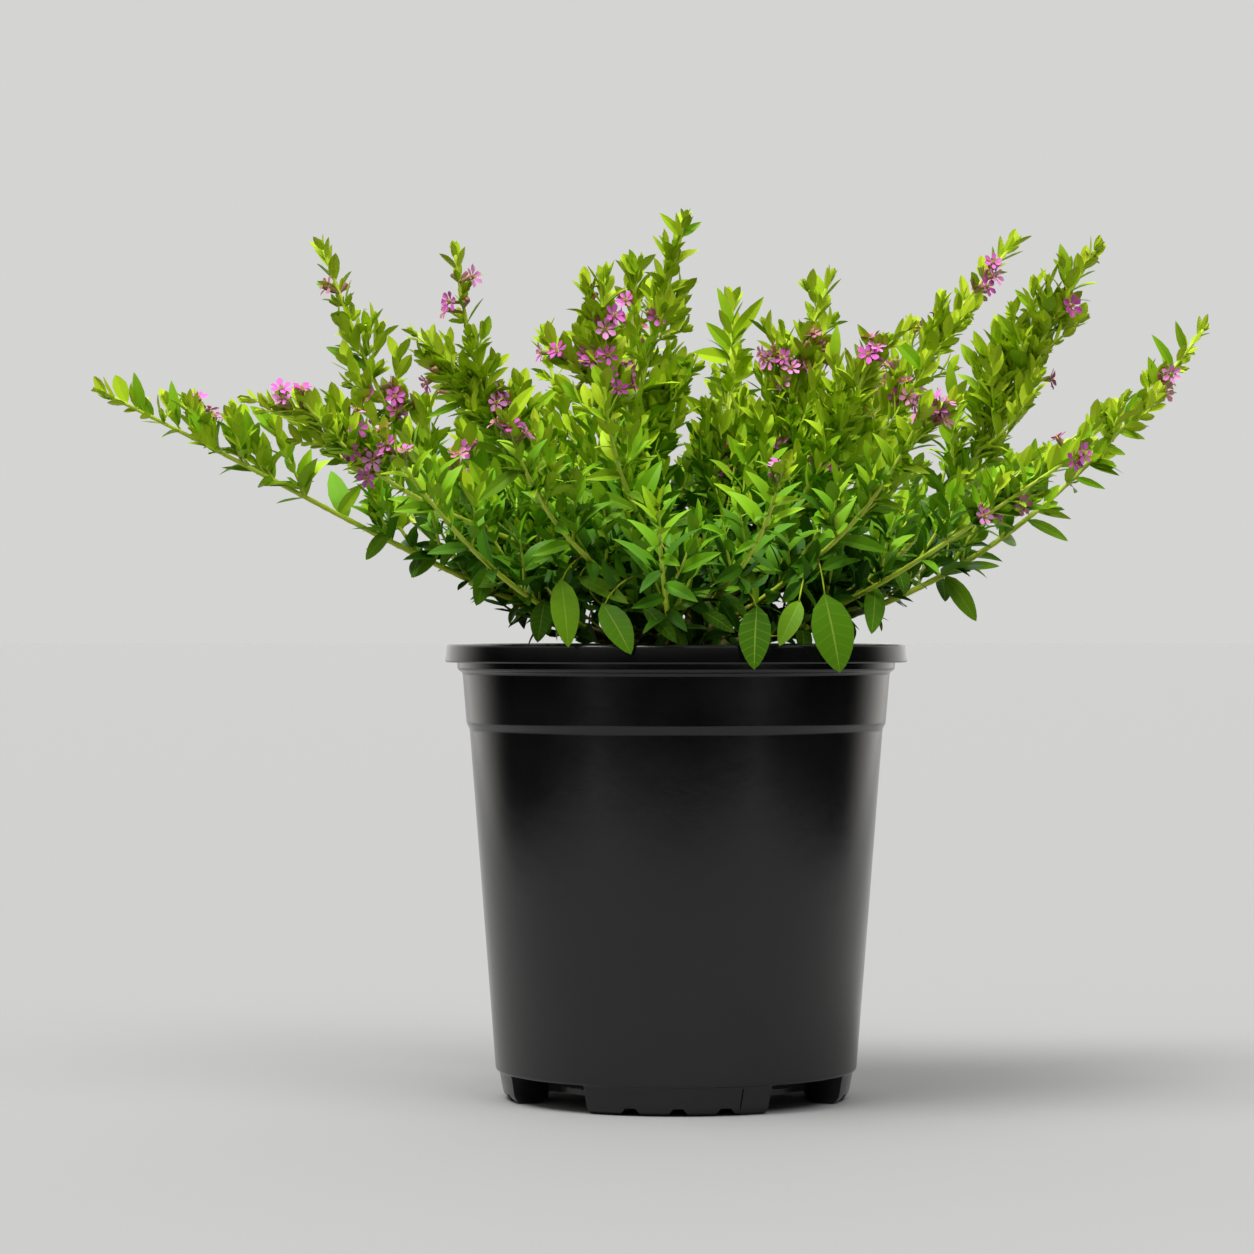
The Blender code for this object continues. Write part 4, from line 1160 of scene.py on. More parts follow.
# Side shoots: the tip's pixel and the length in millimetres
PHOTO_TWIGS = [
    (426, 342, 38), (499, 350, 18), (539, 333, 36), (552, 384, 24), (583, 271, 40), (585, 300, 46),
    (606, 263, 26), (628, 255, 22), (641, 253, 24), (687, 304, 16), (693, 325, 16), (741, 347, 18),
    (762, 317, 34), (781, 318, 34), (804, 277, 14), (838, 312, 24), (893, 333, 30), (916, 320, 24),
    (931, 320, 16), (942, 300, 15), (972, 318, 28), (694, 352, 30), (684, 376, 26), (1036, 275, 34),
    (1072, 293, 28), (1089, 313, 32), (1045, 445, 40), (1045, 489, 24), (1089, 424, 17), (1104, 402, 17),
    (1054, 457, 22), (238, 397, 20), (259, 402, 22), (293, 392, 28), (328, 392, 36), (349, 399, 32),
    (376, 310, 17), (383, 321, 18), (407, 327, 36), (341, 382, 16), (1012, 365, 28), (960, 365, 30),
    (985, 345, 30), (1000, 400, 30), (965, 425, 30), (940, 400, 34), (705, 360, 34), (715, 400, 34),
    (745, 385, 30), (765, 360, 30), (790, 400, 30), (690, 385, 30), (480, 375, 26), (515, 395, 26),
    (455, 385, 26), (1020, 330, 30), (1040, 345, 24), (930, 460, 34), (890, 440, 34), (765, 535, 30),
    (880, 566, 34), (398, 345, 30), (425, 350, 34), (420, 395, 30), (470, 325, 24), (575, 322, 26),
    (670, 380, 36), (672, 415, 34), (755, 365, 34), (750, 400, 30), (835, 350, 30), (830, 380, 30),
    (998, 320, 34), (975, 350, 34), (962, 395, 34), (985, 300, 28), (251, 410, 18), (1090, 435, 20),
    (545, 425, 30), (560, 345, 30), (520, 372, 46), (530, 395, 44), (690, 372, 46), (688, 405, 44),
    (820, 370, 44), (822, 405, 44), (415, 350, 42), (1062, 250, 18), (1050, 272, 26), (664, 232, 18),
    (668, 258, 26), (1012, 300, 30), (1000, 335, 34), (225, 412, 20), (270, 405, 28), (310, 398, 30),
    (335, 405, 34), (190, 402, 16), (700, 425, 32), (702, 395, 36), (696, 448, 28), (533, 415, 30),
    (512, 385, 26), (828, 395, 30), (815, 425, 30), (205, 415, 14), (248, 428, 18), (285, 440, 22),
    (320, 450, 26), (232, 400, 20),
]
# The place that suits such a twig best costs the fewest points. A length that is off costs LENGTH_POINTS by
# its share, and a point goes for each DEGREES_PER_POINT from the limb's heading, each BACK_PER_POINT behind
# TWIG_NEAREST and each RISE_PER_POINT that the tip stands higher than the limb's own with its allowance
LENGTH_POINTS = 1.6
DEGREES_PER_POINT = 40.0
TWIG_NEAREST = 60 * MM
BACK_PER_POINT = 260 * MM
RISE_ALLOWANCE = 6 * MM
RISE_PER_POINT = 8 * MM
# The most degrees and the most share of length that may be off
WIDEST_ANGLE = 62
MOST_OFF = 0.6
PHOTO_TWIG_TIP_RADIUS = 0.38 * MM
PHOTO_TWIG_STEPS = 12


def photo_twig(shoots, across, down, length):
    """A side twig to a tip seen in the photo, from the limb and the place on it that suit it best."""
    length *= MM
    best = None
    for shoot in shoots:
        for distance in np.arange(shoot.start + 8 * MM, shoot.length - 6 * MM, 3 * MM):
            root = shoot.at(distance)
            tip = from_photo(across, down, root.y - length * 0.12)
            reach = tip - root
            angle = math.degrees(reach.angle(shoot.heading(distance)))
            off = abs(reach.length - length) / length
            rise = max(tip.z - shoot.points[-1][2] - RISE_ALLOWANCE, 0.0) / RISE_PER_POINT
            back = (root.y + TWIG_NEAREST) / BACK_PER_POINT
            cost = off * LENGTH_POINTS + angle / DEGREES_PER_POINT + back + rise
            if angle < WIDEST_ANGLE and off < MOST_OFF and (best is None or cost < best[0]):
                best = (cost, shoot, distance, tip)
    if best is None:
        return None
    _, shoot, distance, tip = best
    root = shoot.at(distance)
    tip -= (tip - root).normalized() * TIP_LEAF_REACH
    reach = tip - root
    first = (shoot.heading(distance) * 0.8 + reach.normalized()).normalized()
    path = rows_of(curve(root, root + first * reach.length * 0.4, tip - reach * 0.3, tip, PHOTO_TWIG_STEPS))
    if not has_room(path[2:]).all():
        return None
    dice = random.Random(SEED * 11 + across * 7 + down)
    return shoot, Axis(path, twig_radius(shoot, distance, reach.length), PHOTO_TWIG_TIP_RADIUS, 1, dice)


# Old leaves: pixels of base and tip, width in pixels and distance from the pot's axis in millimetres, or 0
# for a leaf that hangs beside its shoot
LOW_LEAVES = [
    (561, 578, 570, 643, 29, 82), (602, 603, 633, 649, 30, 87), (643, 606, 678, 638, 18, 80),
    (711, 588, 675, 606, 15, 78), (757, 605, 752, 666, 33, 87), (824, 593, 843, 668, 43, 88),
    (875, 585, 875, 630, 22, 84), (950, 580, 984, 622, 20, 0), (577, 577, 628, 595, 18, 80),
    (560, 555, 505, 568, 14, 82), (488, 568, 478, 604, 20, 86), (512, 568, 530, 600, 20, 84),
    (391, 528, 366, 555, 15, 0), (438, 545, 409, 572, 18, 0), (345, 505, 310, 524, 7, 0),
    (1038, 532, 1080, 548, 12, 0), (880, 590, 915, 605, 14, 84), (545, 600, 537, 640, 22, 80),
    (700, 610, 735, 628, 16, 78), (590, 560, 620, 578, 15, 70), (670, 555, 640, 590, 15, 66),
    (655, 530, 700, 508, 14, 60), (632, 560, 600, 530, 14, 64), (500, 585, 470, 580, 12, 86),
    (740, 560, 760, 600, 15, 72), (960, 575, 1000, 570, 10, 0), (800, 600, 780, 642, 22, 76),
    (372, 369, 332, 345, 13, 0), (520, 470, 475, 500, 14, 0), (637, 510, 587, 487, 14, 0),
]
# Leaves of the upper crown: pixels of base and tip, and width in pixels
OUTER_LEAVES = [
    (723, 338, 762, 299, 14), (722, 347, 708, 323, 14), (725, 329, 721, 288, 12), (718, 361, 693, 352, 18),
    (646, 278, 624, 254, 16), (608, 286, 605, 262, 10), (670, 234, 662, 213, 10), (677, 237, 700, 222, 9),
    (462, 403, 428, 416, 10), (578, 407, 560, 377, 12), (578, 371, 549, 357, 13), (516, 420, 530, 384, 16),
    (544, 413, 557, 387, 11), (728, 441, 710, 402, 14), (921, 371, 892, 333, 15),
    (1155, 388, 1149, 358, 12), (1120, 433, 1103, 401, 15), (1083, 450, 1089, 423, 12),
    (1127, 434, 1140, 390, 15), (996, 419, 981, 381, 14), (1012, 342, 998, 315, 14),
    (1023, 312, 1016, 290, 9), (1061, 284, 1063, 245, 14), (1101, 462, 1107, 437, 14),
    (1054, 511, 1058, 485, 12), (841, 401, 855, 367, 15), (200, 438, 191, 409, 14),
    (180, 424, 170, 382, 12), (158, 413, 140, 394, 11), (235, 450, 224, 424, 14), (255, 443, 245, 411, 14),
    (268, 466, 264, 433, 15), (273, 429, 253, 405, 14), (290, 459, 277, 423, 14), (304, 484, 310, 450, 14),
    (344, 504, 362, 484, 13), (335, 484, 341, 461, 9), (261, 471, 224, 466, 6), (296, 485, 260, 484, 6),
    (399, 530, 397, 497, 18), (388, 511, 362, 504, 8), (148, 400, 135, 374, 12), (979, 355, 974, 332, 12),
    (986, 342, 994, 321, 12), (972, 366, 962, 344, 13), (958, 386, 947, 362, 13), (1097, 474, 1119, 473, 8),
    (1112, 456, 1127, 453, 9), (1083, 486, 1105, 487, 8), (1127, 440, 1145, 437, 9),
    (846, 352, 835, 326, 12), (852, 345, 858, 325, 10), (1170, 365, 1156, 334, 11),
    (1180, 352, 1176, 322, 9), (330, 300, 318, 282, 9), (692, 372, 676, 356, 13), (700, 388, 688, 362, 14),
    (690, 398, 672, 384, 13), (698, 416, 684, 396, 13),
]
# Sprouts at the bare feet of the shoots: the first one's place, gaps and lengths in millimetres
SPROUT_FIRST = (5.0, 9.0)
SPROUT_GAPS = (6.0, 10.0)
SPROUT_LENGTHS = (14.0, 34.0)
SPROUT_RADIUS = 0.7 * MM
SPROUT_BARE_FOOT = 4.0 * MM
SPROUT_VIGOUR = 0.4
# How much further out an old leaf may stand, in millimetres, until it has room
OUTWARD_TRIES = (0.0, 2.5, 5.0, 8.0, 12.0)
LEAF_BASE_INWARD = 5.0
LONGEST_BARE_BASE = 1.0 * MM
STALK_RADII = (0.42 * MM, 0.30 * MM)
STALK_TONE = 1.8
STALK_STEPS = 8
# Of the limb points that show near a pixel, one further back counts as so many pixels further off
PIXELS_PER_MM_BACK = 0.1


def on_cylinder(across, down, radius):
    """The near point of an upright cylinder round the pot's axis that shows at a pixel."""
    depth = -radius
    for _ in range(6):
        point = from_photo(across, down, depth)
        depth = -math.sqrt(max(radius ** 2 - point.x ** 2, (radius * 0.2) ** 2))
    return from_photo(across, down, depth)


def nearest_seen(places, across, down, pixels_per_mm_back):
    """Number of the place that shows nearest to a pixel of the photo, rather in front than behind."""
    shown_across, shown_down = photo_point(places.T)
    off = np.hypot(shown_across - across, shown_down - down)
    return int(np.argmin(off + places[:, 1] / MM * pixels_per_mm_back))


def stalk_to(foliage, root, base, along, dice):
    """A leafy stalk from a limb to the base of an old leaf."""
    gap = base - root
    bend = UP * gap.length * 0.2
    end = base + along.normalized() * 1.5 * MM
    path = rows_of(curve(root, root + gap * 0.3 + bend, base - gap * 0.2 + bend, end, STALK_STEPS))
    stalk = Axis(path, *STALK_RADII, 1, dice)
    stalk.tone = STALK_TONE
    foliage.twigs.append(stalk)
    for distance in np.arange(2.5 * MM, gap.length - 2.0 * MM, 5.0 * MM):
        heading = stalk.heading(distance)
        for outward in both_sides(heading, 40):
            length = dice.uniform(9.0, 13.0) * MM
            foliage.leaf(stalk, stalk.at(distance), heading, outward, 50 * MM, 48.0, length, 0.32)


def low_leaf(foliage, roots, base_x, base_y, tip_x, tip_y, wide, radius):
    """A big old leaf where the photo shows it, on a stalk from the limb nearest its base."""
    dice = random.Random(base_x * 3 + tip_y)
    fold = dice.uniform(0.08, 0.25)
    look = dice.choice((0, 0, 1, 2)) if radius else 2
    lean = Vector((dice.uniform(-0.3, 0.3), 0.0, 0.0))
    for further in OUTWARD_TRIES:
        if radius:
            base = on_cylinder(base_x, base_y, (radius - LEAF_BASE_INWARD + further) * MM)
            tip = on_cylinder(tip_x, tip_y, (radius + further) * MM)
            root = Vector(roots[np.argmin(np.linalg.norm(roots - np.array(base), axis=1))])
        else:
            root = Vector(roots[nearest_seen(roots, base_x, base_y, PIXELS_PER_MM_BACK)])
            base = root
            tip = base + from_photo(tip_x, tip_y, base.y) - from_photo(base_x, base_y, base.y)
        to_camera = (CAMERA_PLACE - base).normalized()
        reach = tip - base
        along = reach + to_camera * reach.length * 0.22
        trial = old_blades()
        trial.add(base, along, to_camera + UP * 0.5 + lean, reach.length * BLADE_REACH,
                  wide * pixel_size(base.y), 0.45, fold, look)
        if whole_blade_has_room(trial.shapes())[0]:
            foliage.old.entries += trial.entries
            if (base - root).length > LONGEST_BARE_BASE:
                stalk_to(foliage, root, base, along, dice)
            return


def outer_leaf(foliage, roots, base_x, base_y, tip_x, tip_y, wide):
    """A leaf of the upper crown where the photo shows it, on the limb or twig nearest its base."""
    dice = random.Random(base_x * 5 + tip_y)
    base = Vector(roots[nearest_seen(roots, base_x, base_y, PIXELS_PER_MM_BACK)])
    tip = from_photo(tip_x, tip_y, base.y)
    seen_length = (tip - from_photo(base_x, base_y, base.y)).length
    reach = tip - base
    reach *= clamped(reach.length, seen_length * 0.7, seen_length * 1.45) / reach.length
    to_camera = (CAMERA_PLACE - base).normalized()
    along = reach + to_camera * reach.length * dice.uniform(0.1, 0.35)
    face = to_camera + UP * 0.5 + Vector((dice.uniform(-0.4, 0.4), 0.0, 0.0))
    foliage.leaves.add(base, along, face, reach.length * BLADE_REACH, wide * pixel_size(base.y),
                       dice.uniform(0.1, 0.5), 0.3, dice.choice((1, 2, 2, 3)))


def basal_sprouts(foliage, shoot):
    """Short leafy sprouts along the bare foot of a shoot, in the shade of the crown."""
    dice = shoot.dice
    distance = dice.uniform(*SPROUT_FIRST) * MM
    while distance < shoot.start:
        root = shoot.at(distance)
        heading = shoot.heading(distance)
        outward = sideways(heading, dice.uniform(0, 360))
        first = (heading * 0.5 + outward + UP * 0.4).normalized()
        last = (heading * 0.6 + outward * 0.4 + UP * dice.uniform(0.1, 0.9)).normalized()
        length = dice.uniform(*SPROUT_LENGTHS) * MM
        path = bent_path(root, first, last, length)
        if has_room(path[1:]).all():
            sprout = Axis(path, SPROUT_RADIUS, TWIG_TIP_RADIUS, 1, random.Random(dice.random()))
            sprout.start = SPROUT_BARE_FOOT
            sprout.vigour = SPROUT_VIGOUR
            foliage.grow(sprout)
        distance += dice.uniform(*SPROUT_GAPS) * MM


def limb_points(foliages):
    """Points along every limb and twig."""
    roots = []
    for foliage in foliages:
        for axis in foliage.twigs:
            roots += [axis.at(distance) for distance in np.arange(axis.start, axis.length, 2 * MM)]
    return rows_of(roots)


# Blossom

# Clusters that face the camera: the pixel of the photo each stands at, and how many flowers are open
FRONT_BLOSSOM = [
    (208, 402, 3), (320, 298, 1), (293, 392, 3), (380, 410, 4), (388, 432, 4), (370, 462, 4), (445, 310, 2),
    (475, 285, 1), (497, 412, 4), (505, 432, 2), (455, 465, 3), (450, 478, 1), (520, 440, 2), (537, 350, 2),
    (590, 285, 1), (618, 330, 2), (625, 318, 1), (596, 366, 4), (590, 376, 2), (627, 378, 3), (630, 395, 2),
    (770, 355, 1), (780, 378, 3), (795, 350, 1), (815, 355, 2), (775, 457, 1), (792, 457, 1), (850, 330, 2),
    (890, 398, 2), (905, 395, 2), (925, 403, 3), (955, 410, 2), (985, 265, 1), (1000, 287, 1),
    (1045, 378, 1), (1055, 455, 2), (1075, 460, 2), (1168, 390, 3), (1030, 520, 2), (980, 515, 2),
    (1100, 243, 1), (1085, 315, 1), (425, 400, 1), (862, 345, 1), (655, 320, 1), (815, 470, 1),
    (415, 405, 1), (362, 425, 2), (395, 405, 2), (376, 450, 1), (465, 455, 1), (604, 358, 1), (790, 372, 2),
    (765, 365, 2), (820, 350, 1), (770, 462, 1),
]
FAR_BLOSSOM = 52
BLOSSOM_PIXELS_PER_MM_BACK = 0.20
# How strongly a flower turns to its pixel, by how far off that is
REACH_SCALE = 5.0 * MM
STRONGEST_REACH = 1.4
# Degrees from one flower or stub to the next, so that they don't stand in rows
GOLDEN_ANGLE = 137.5
# A tube's section: places along it, and radii as shares of its mouth's
TUBE_PLACES = np.array([0.0, 0.25, 0.6, 0.9, 1.0])
TUBE_RADII = np.array([0.42, 0.62, 0.80, 1.0, 0.86])
TUBE_SIDES = 7
TUBE_LENGTH = 6.4 * MM
TUBE_MOUTH = 1.05 * MM
SHED_TUBE_LENGTHS = (4.0, 5.6)
SHED_TUBE_MOUTH = 0.85 * MM
SHED_TUBE_COUNTS = (3, 4, 5)
PETALS = 6
PETAL_LENGTHS = (3.3, 4.1)
PETAL_WIDTHS = (0.50, 0.62)
PETAL_SPREADS = (62, 80)
ANTHERS = 7
ANTHER_LENGTH = 1.7 * MM
ANTHER_WIDTH = 0.42 * MM


class Blossom:
    """Flowers of six crinkled petals and a ring of anthers on a tube, and tubes that have shed theirs."""

    def __init__(self):
        self.petals = Blades(obovate, (0.22, 0.5, 0.78), (-1.0, 0.0, 1.0), ruffle=0.07)
        self.anthers = Blades(elliptic, (0.5,), (-1.0, 1.0))
        self.tubes = Bag()

    def tube(self, root, along, length, mouth, look):
        points = np.array(root)[None] + np.array(along)[None] * (TUBE_PLACES * length)[:, None]
        add_tube(self.tubes, points, TUBE_RADII * mouth, TUBE_SIDES, [min(look, 1), look, look, look])

    def flower(self, dice, root, along, size, look):
        along = along.normalized()
        tube = TUBE_LENGTH * dice.uniform(0.85, 1.15)
        self.tube(root, along, tube, TUBE_MOUTH, dice.choice((0, 1, 1)))
        mouth = root + along * (tube - 0.25 * MM)
        turn = dice.uniform(0, 60)
        for number in range(PETALS):
            outward = sideways(along, turn + number * 360 / PETALS + dice.uniform(-6, 6))
            heading = tilted(along, outward, dice.uniform(*PETAL_SPREADS))
            length = size * dice.uniform(0.9, 1.1)
            self.petals.add(mouth + outward * 0.5 * MM, heading, along, length,
                            length * dice.uniform(*PETAL_WIDTHS), dice.uniform(-0.1, 0.35),
                            dice.uniform(0.0, 0.25), look)
        for number in range(ANTHERS):
            outward = sideways(along, turn + number * 51.4)
            foot = mouth + outward * 0.35 * MM
            self.anthers.add(foot, along + outward * 0.30, outward, ANTHER_LENGTH, ANTHER_WIDTH, 0.0, 0.0, 0)

    def shed(self, dice, root, along):
        """A tube whose petals have dropped, or a bud."""
        length = dice.uniform(*SHED_TUBE_LENGTHS) * MM
        self.tube(root, along.normalized(), length, SHED_TUBE_MOUTH, dice.choice((0, 1, 2, 2)))

    def cluster(self, dice, site, open_count, towards=None, reach=None):
        """Open flowers and shed tubes at an axil, turned to the camera and reaching to a place if given."""
        root, heading, outward, _ = site
        turn = dice.uniform(0, 360)
        for number in range(open_count):
            side = sideways(heading, turn + number * GOLDEN_ANGLE)
            along = outward * 0.6 + heading * 0.35 + UP * 0.2 + side * 0.9
            if towards is not None:
                along = along.normalized() + towards * dice.uniform(0.3, 1.0)
                along += reach.normalized() * min(reach.length / REACH_SCALE, STRONGEST_REACH)
            tone = dice.choice((0, 0, 0, 1, 1, 2, 2, 3))
            stand = root + heading * 3.6 * MM * (number - (open_count - 1) / 2)
            self.flower(dice, stand, along, dice.uniform(*PETAL_LENGTHS) * MM, tone)
        for _ in range(dice.choice(SHED_TUBE_COUNTS)):
            side = sideways(heading, dice.uniform(0, 360))
            self.shed(dice, root, outward * 0.6 + heading * 0.6 + side * 0.7 + UP * 0.2)


def deal_blossom(foliages):
    """Clusters at the photo's places in front, and by the dice on the far side."""
    blossom = Blossom()
    dice = random.Random(SEED * 3)
    sites = [site for foliage in foliages for site in foliage.sites]
    places = rows_of(site[0] for site in sites)
    for across, down, open_count in FRONT_BLOSSOM:
        site = sites[nearest_seen(places, across, down, BLOSSOM_PIXELS_PER_MM_BACK)]
        to_camera = (CAMERA_PLACE - site[0]).normalized()
        reach = from_photo(across, down, site[0].y) - site[0]
        blossom.cluster(dice, site, open_count, to_camera, reach)
    far = [site for site in sites if site[0].y > 15 * MM and 12 * MM < site[3] < 60 * MM]
    for site in dice.sample(far, FAR_BLOSSOM):
        blossom.cluster(dice, site, dice.choice((1, 1, 2)))
    return blossom


# Pieces of the plant

# A shoot whose tip is nearer to the axis than this, in millimetres, belongs to the middle
MIDDLE_REACH = 80
LIMB_SLIMNESS = (0.74, 0.98)
TWIG_SLIMNESS = 0.92
# By order of limb: distance between rings, and number of sides
RING_STEPS = (2.0 * MM, TWIG_STEP, TWIG_STEP)
TWIG_SIDES = (9, 6, 4)
STEM_RING_STEP = 1.5 * MM
STEM_SIDES = 14
STEM_OVERLAP = 2.0 * MM
STEM_FLARE = 0.55
STEM_FLARE_LENGTH = 3.0 * MM
BARK_SWELL = 1.02
# Stubs of cut shoots: places along a stub, and its radii there in millimetres
STUBS = 13
STUB_PLACES = (-0.5, 0.0, 0.3, 0.65, 0.97, 1.0)
STUB_RADII = np.array([1.9, 1.6, 1.3, 1.15, 1.1, 0.9])
STUB_SIDES = 12


def group_of(shoot):
    """The part of the crown that a shoot belongs to."""
    x, y = SHOOTS[shoot.name][:2]
    if math.hypot(x, y) < MIDDLE_REACH:
        return "middle"
    if abs(x) > abs(y):
        return "left" if x < 0 else "right"
    return "front" if y < 0 else "back"


def twig_looks(axis, distances):
    """Twig tones run from olive and red-brown at the foot to yellow-green at the tip, whose paleness is
    partly a painted glow of light through the stem.
    """
    left = (axis.length - distances[:-1]) / axis.length
    tones = left * axis.browning + axis.tone + axis.dice.uniform(-0.4, 0.5)
    return np.clip(tones, 0, len(TWIG_TONES) - 1).astype(int)


def add_twig(bag, axis):
    """A leafy limb, as a tube that swells and narrows a little along its length."""
    order = min(axis.order, 2)
    count = max(4, math.ceil((axis.length - axis.start) / RING_STEPS[order]))
    distances = np.linspace(axis.start, axis.length - 0.6 * MM, count + 1)
    slimness = TWIG_SLIMNESS
    if order == 0:
        slimness = np.interp(distances / axis.length, (0.0, 1.0), LIMB_SLIMNESS)
    radii = np.array([axis.radius(distance) for distance in distances]) * slimness
    radii *= 1.0 + 0.10 * np.sin(distances / MM * 1.9) ** 3
    points = rows_of(axis.at(distance) for distance in distances)
    add_tube(bag, points, radii, TWIG_SIDES[order], twig_looks(axis, distances))


def build_foliage(shoots, greens, old_greens, twig_tones):
    groups = {}
    for shoot in shoots:
        foliage = groups.setdefault(group_of(shoot), Foliage())
        foliage.grow(shoot)
        basal_sprouts(foliage, shoot)
        foliage.nodes.append(f"foliage_{shoot.name}")
    for entry in PHOTO_TWIGS:
        found = photo_twig(shoots, *entry)
        if found:
            shoot, twig = found
            groups[group_of(shoot)].grow(twig)
    roots = limb_points(groups.values())
    for entry in LOW_LEAVES:
        low_leaf(groups["front"], roots, *entry)
    for entry in OUTER_LEAVES:
        outer_leaf(groups["front"], roots, *entry)
    for group, foliage in groups.items():
        twigs = Bag()
        for axis in foliage.twigs:
            add_twig(twigs, axis)
        twigs.piece(f"twigs_{group}", twig_tones, "stem_bark", foliage.nodes)
        for kind, blades, tones, looks_of in (
            ("leaves", foliage.leaves, greens, None),
            ("young_leaves", foliage.young, greens, None),
            ("leaflets", foliage.leaflets, greens, None),
            ("old_leaves", foliage.old, old_greens, old_leaf_looks),
        ):
            bag = Bag()
            blades.fill(bag, whole_blade_has_room, looks_of)
            if bag.count:
                bag.piece(f"{kind}_{group}", tones, "foliage", foliage.nodes)
    return list(groups.values())


def build_blossom(foliages):
    blossom = deal_blossom(foliages)
    petals = Bag()
    blossom.petals.fill(petals)
    petals.piece("petals", palette("petal", PETAL_TONES, 0.55, 0.3), "foliage", [])
    anthers = Bag()
    blossom.anthers.fill(anthers)
    anthers.piece("anthers", [principled("anther", ANTHER_TONE, 0.6)], "foliage", [])
    blossom.tubes.piece("calyx_tubes", palette("calyx", CALYX_TONES, 0.5, 0.4), "foliage", [])


def bark_relief(seed, ridge=0.07, lump=0.10):
    """Lengthwise ridges and lumps on a limb, as a factor on its radius."""
    def relief(points, angles):
        factors = np.ones((len(points), len(angles)))
        for row, point in enumerate(points):
            for column, angle in enumerate(angles):
                place = Vector((math.cos(angle) * 2.2, math.sin(angle) * 2.2, row * 0.16 + seed * 7.7))
                fine = Vector((math.cos(angle) * 5.0, math.sin(angle) * 5.0, row * 0.05 + seed * 3.1))
                factors[row, column] += lump * noise.noise(place) + ridge * noise.noise(fine)
        return factors
    return relief


def build_stems(shoots, material):
    """The bare foot of each shoot, in bark, running on a little way into its foliage."""
    bag = Bag()
    nodes = []
    for number, shoot in enumerate(shoots):
        if not shoot.start:
            continue
        end = shoot.start + STEM_OVERLAP
        count = math.ceil(end / STEM_RING_STEP)
        distances = np.maximum(np.linspace(-STEM_RING_STEP, end, count + 1), 0.0)
        points = rows_of(shoot.at(distance) for distance in distances)
        points[0] = points[1] - (points[2] - points[1])
        radii = np.array([shoot.radius(distance) for distance in distances])
        radii *= 1.0 + STEM_FLARE * np.exp(-distances / STEM_FLARE_LENGTH)
        add_tube(bag, points, radii * BARK_SWELL, STEM_SIDES, np.zeros(count, int), bark_relief(number))
        nodes.append(f"stem_{shoot.name}")
    return bag.piece("bare_stems", [material], "stem_bark", nodes)


def crown_surface(direction):
    """A point of the knobbly crown in a direction from its middle."""
    lumps = 0.10 * noise.noise(direction * 2.4)
    lumps += 0.05 * noise.noise(direction * 6.5 + Vector((3.0, 1.0, 7.0)))
    if direction.z >= 0.0:
        point = Vector((direction.x * CROWN_RADIUS, direction.y * CROWN_RADIUS, direction.z * CROWN_RISE))
        return point * (1.0 + lumps)
    flare = CROWN_RADIUS + (CROWN_FLARE_RADIUS - CROWN_RADIUS) * min(1.0, -direction.z * 2.2)
    level = Vector((direction.x, direction.y, 0.0)).normalized() * flare * (1.0 + lumps * 0.6)
    return level + UP * direction.z * 9.0 * MM


def build_crown(material):
    """The woody crown that the shoots spring from, with the stubs of cut shoots."""
    bag = Bag()
    shape = bmesh.new()
    bmesh.ops.create_icosphere(shape, subdivisions=5, radius=1.0)
    shape.verts.ensure_lookup_table()
    points = [crown_surface(corner.co.normalized()) + UP * CROWN_CENTRE_HEIGHT for corner in shape.verts]
    faces = [[corner.index for corner in face.verts] for face in shape.faces]
    shape.free()
    bag.add(rows_of(points), np.array(faces), 0)
    dice = random.Random(SEED * 5)
    looks = np.zeros(len(STUB_PLACES) - 1, int)
    for number in range(STUBS):
        direction = compass_direction(number * GOLDEN_ANGLE, dice.uniform(5, 60))
        root = crown_surface(direction) + UP * CROWN_CENTRE_HEIGHT
        along = (direction * 0.6 + UP * 0.7).normalized()
        length = dice.uniform(2.0, 5.5) * MM
        points = rows_of(root + along * length * share for share in STUB_PLACES)
        radii = STUB_RADII * dice.uniform(0.8, 1.25) * MM
        add_tube(bag, points, radii, STUB_SIDES, looks, bark_relief(number + 50, 0.05, 0.16))
    return bag.piece("woody_crown", [material], "stem_bark", ["root_crown"])


# Potting mix

MIX_RINGS = 90
MIX_SEGMENTS = 200
MIX_FLOOR = FLOOR_UNDERSIDE + 2.2 * MM
MIX_LUG_RADIUS = LUG_INNER_RADIUS - LUG_WALL - 0.4 * MM
# The wall and floor of the mix, as radius and height, from its upper edge inwards
MIX_WALL = [
    (MIX_RADIUS, MIX_HEIGHT - 1.4 * MM),
    (NECK_FOOT_RADIUS - WALL - 0.2 * MM, NECK_FOOT + 0.5 * MM),
    (BODY_TOP_RADIUS - WALL - 0.2 * MM, BODY_TOP),
    (BODY_FOOT_RADIUS - WALL - 0.3 * MM, LUG_TOP + 3.0 * MM),
    (MIX_LUG_RADIUS, LUG_TOP + 2.8 * MM),
    (MIX_LUG_RADIUS, MIX_FLOOR),
    (LUG_INNER_RADIUS / 2, MIX_FLOOR),
    (0.2 * MM, MIX_FLOOR),
]
# Solids that bits are broken from: corners and faces
CUBE = (
    np.array([(x, y, z) for x in (-1, 1) for y in (-1, 1) for z in (-1, 1)], float),
    np.array([(0, 1, 3, 2), (4, 6, 7, 5), (0, 4, 5, 1), (2, 3, 7, 6), (0, 2, 6, 4), (1, 5, 7, 3)]),
)
GEM = (
    np.array([(1, 0, 0), (-1, 0, 0), (0, 1, 0), (0, -1, 0), (0, 0, 1), (0, 0, -1)], float),
    np.array([(0, 2, 4), (2, 1, 4), (1, 3, 4), (3, 0, 4), (2, 0, 5), (1, 2, 5), (3, 1, 5), (0, 3, 5)]),
)
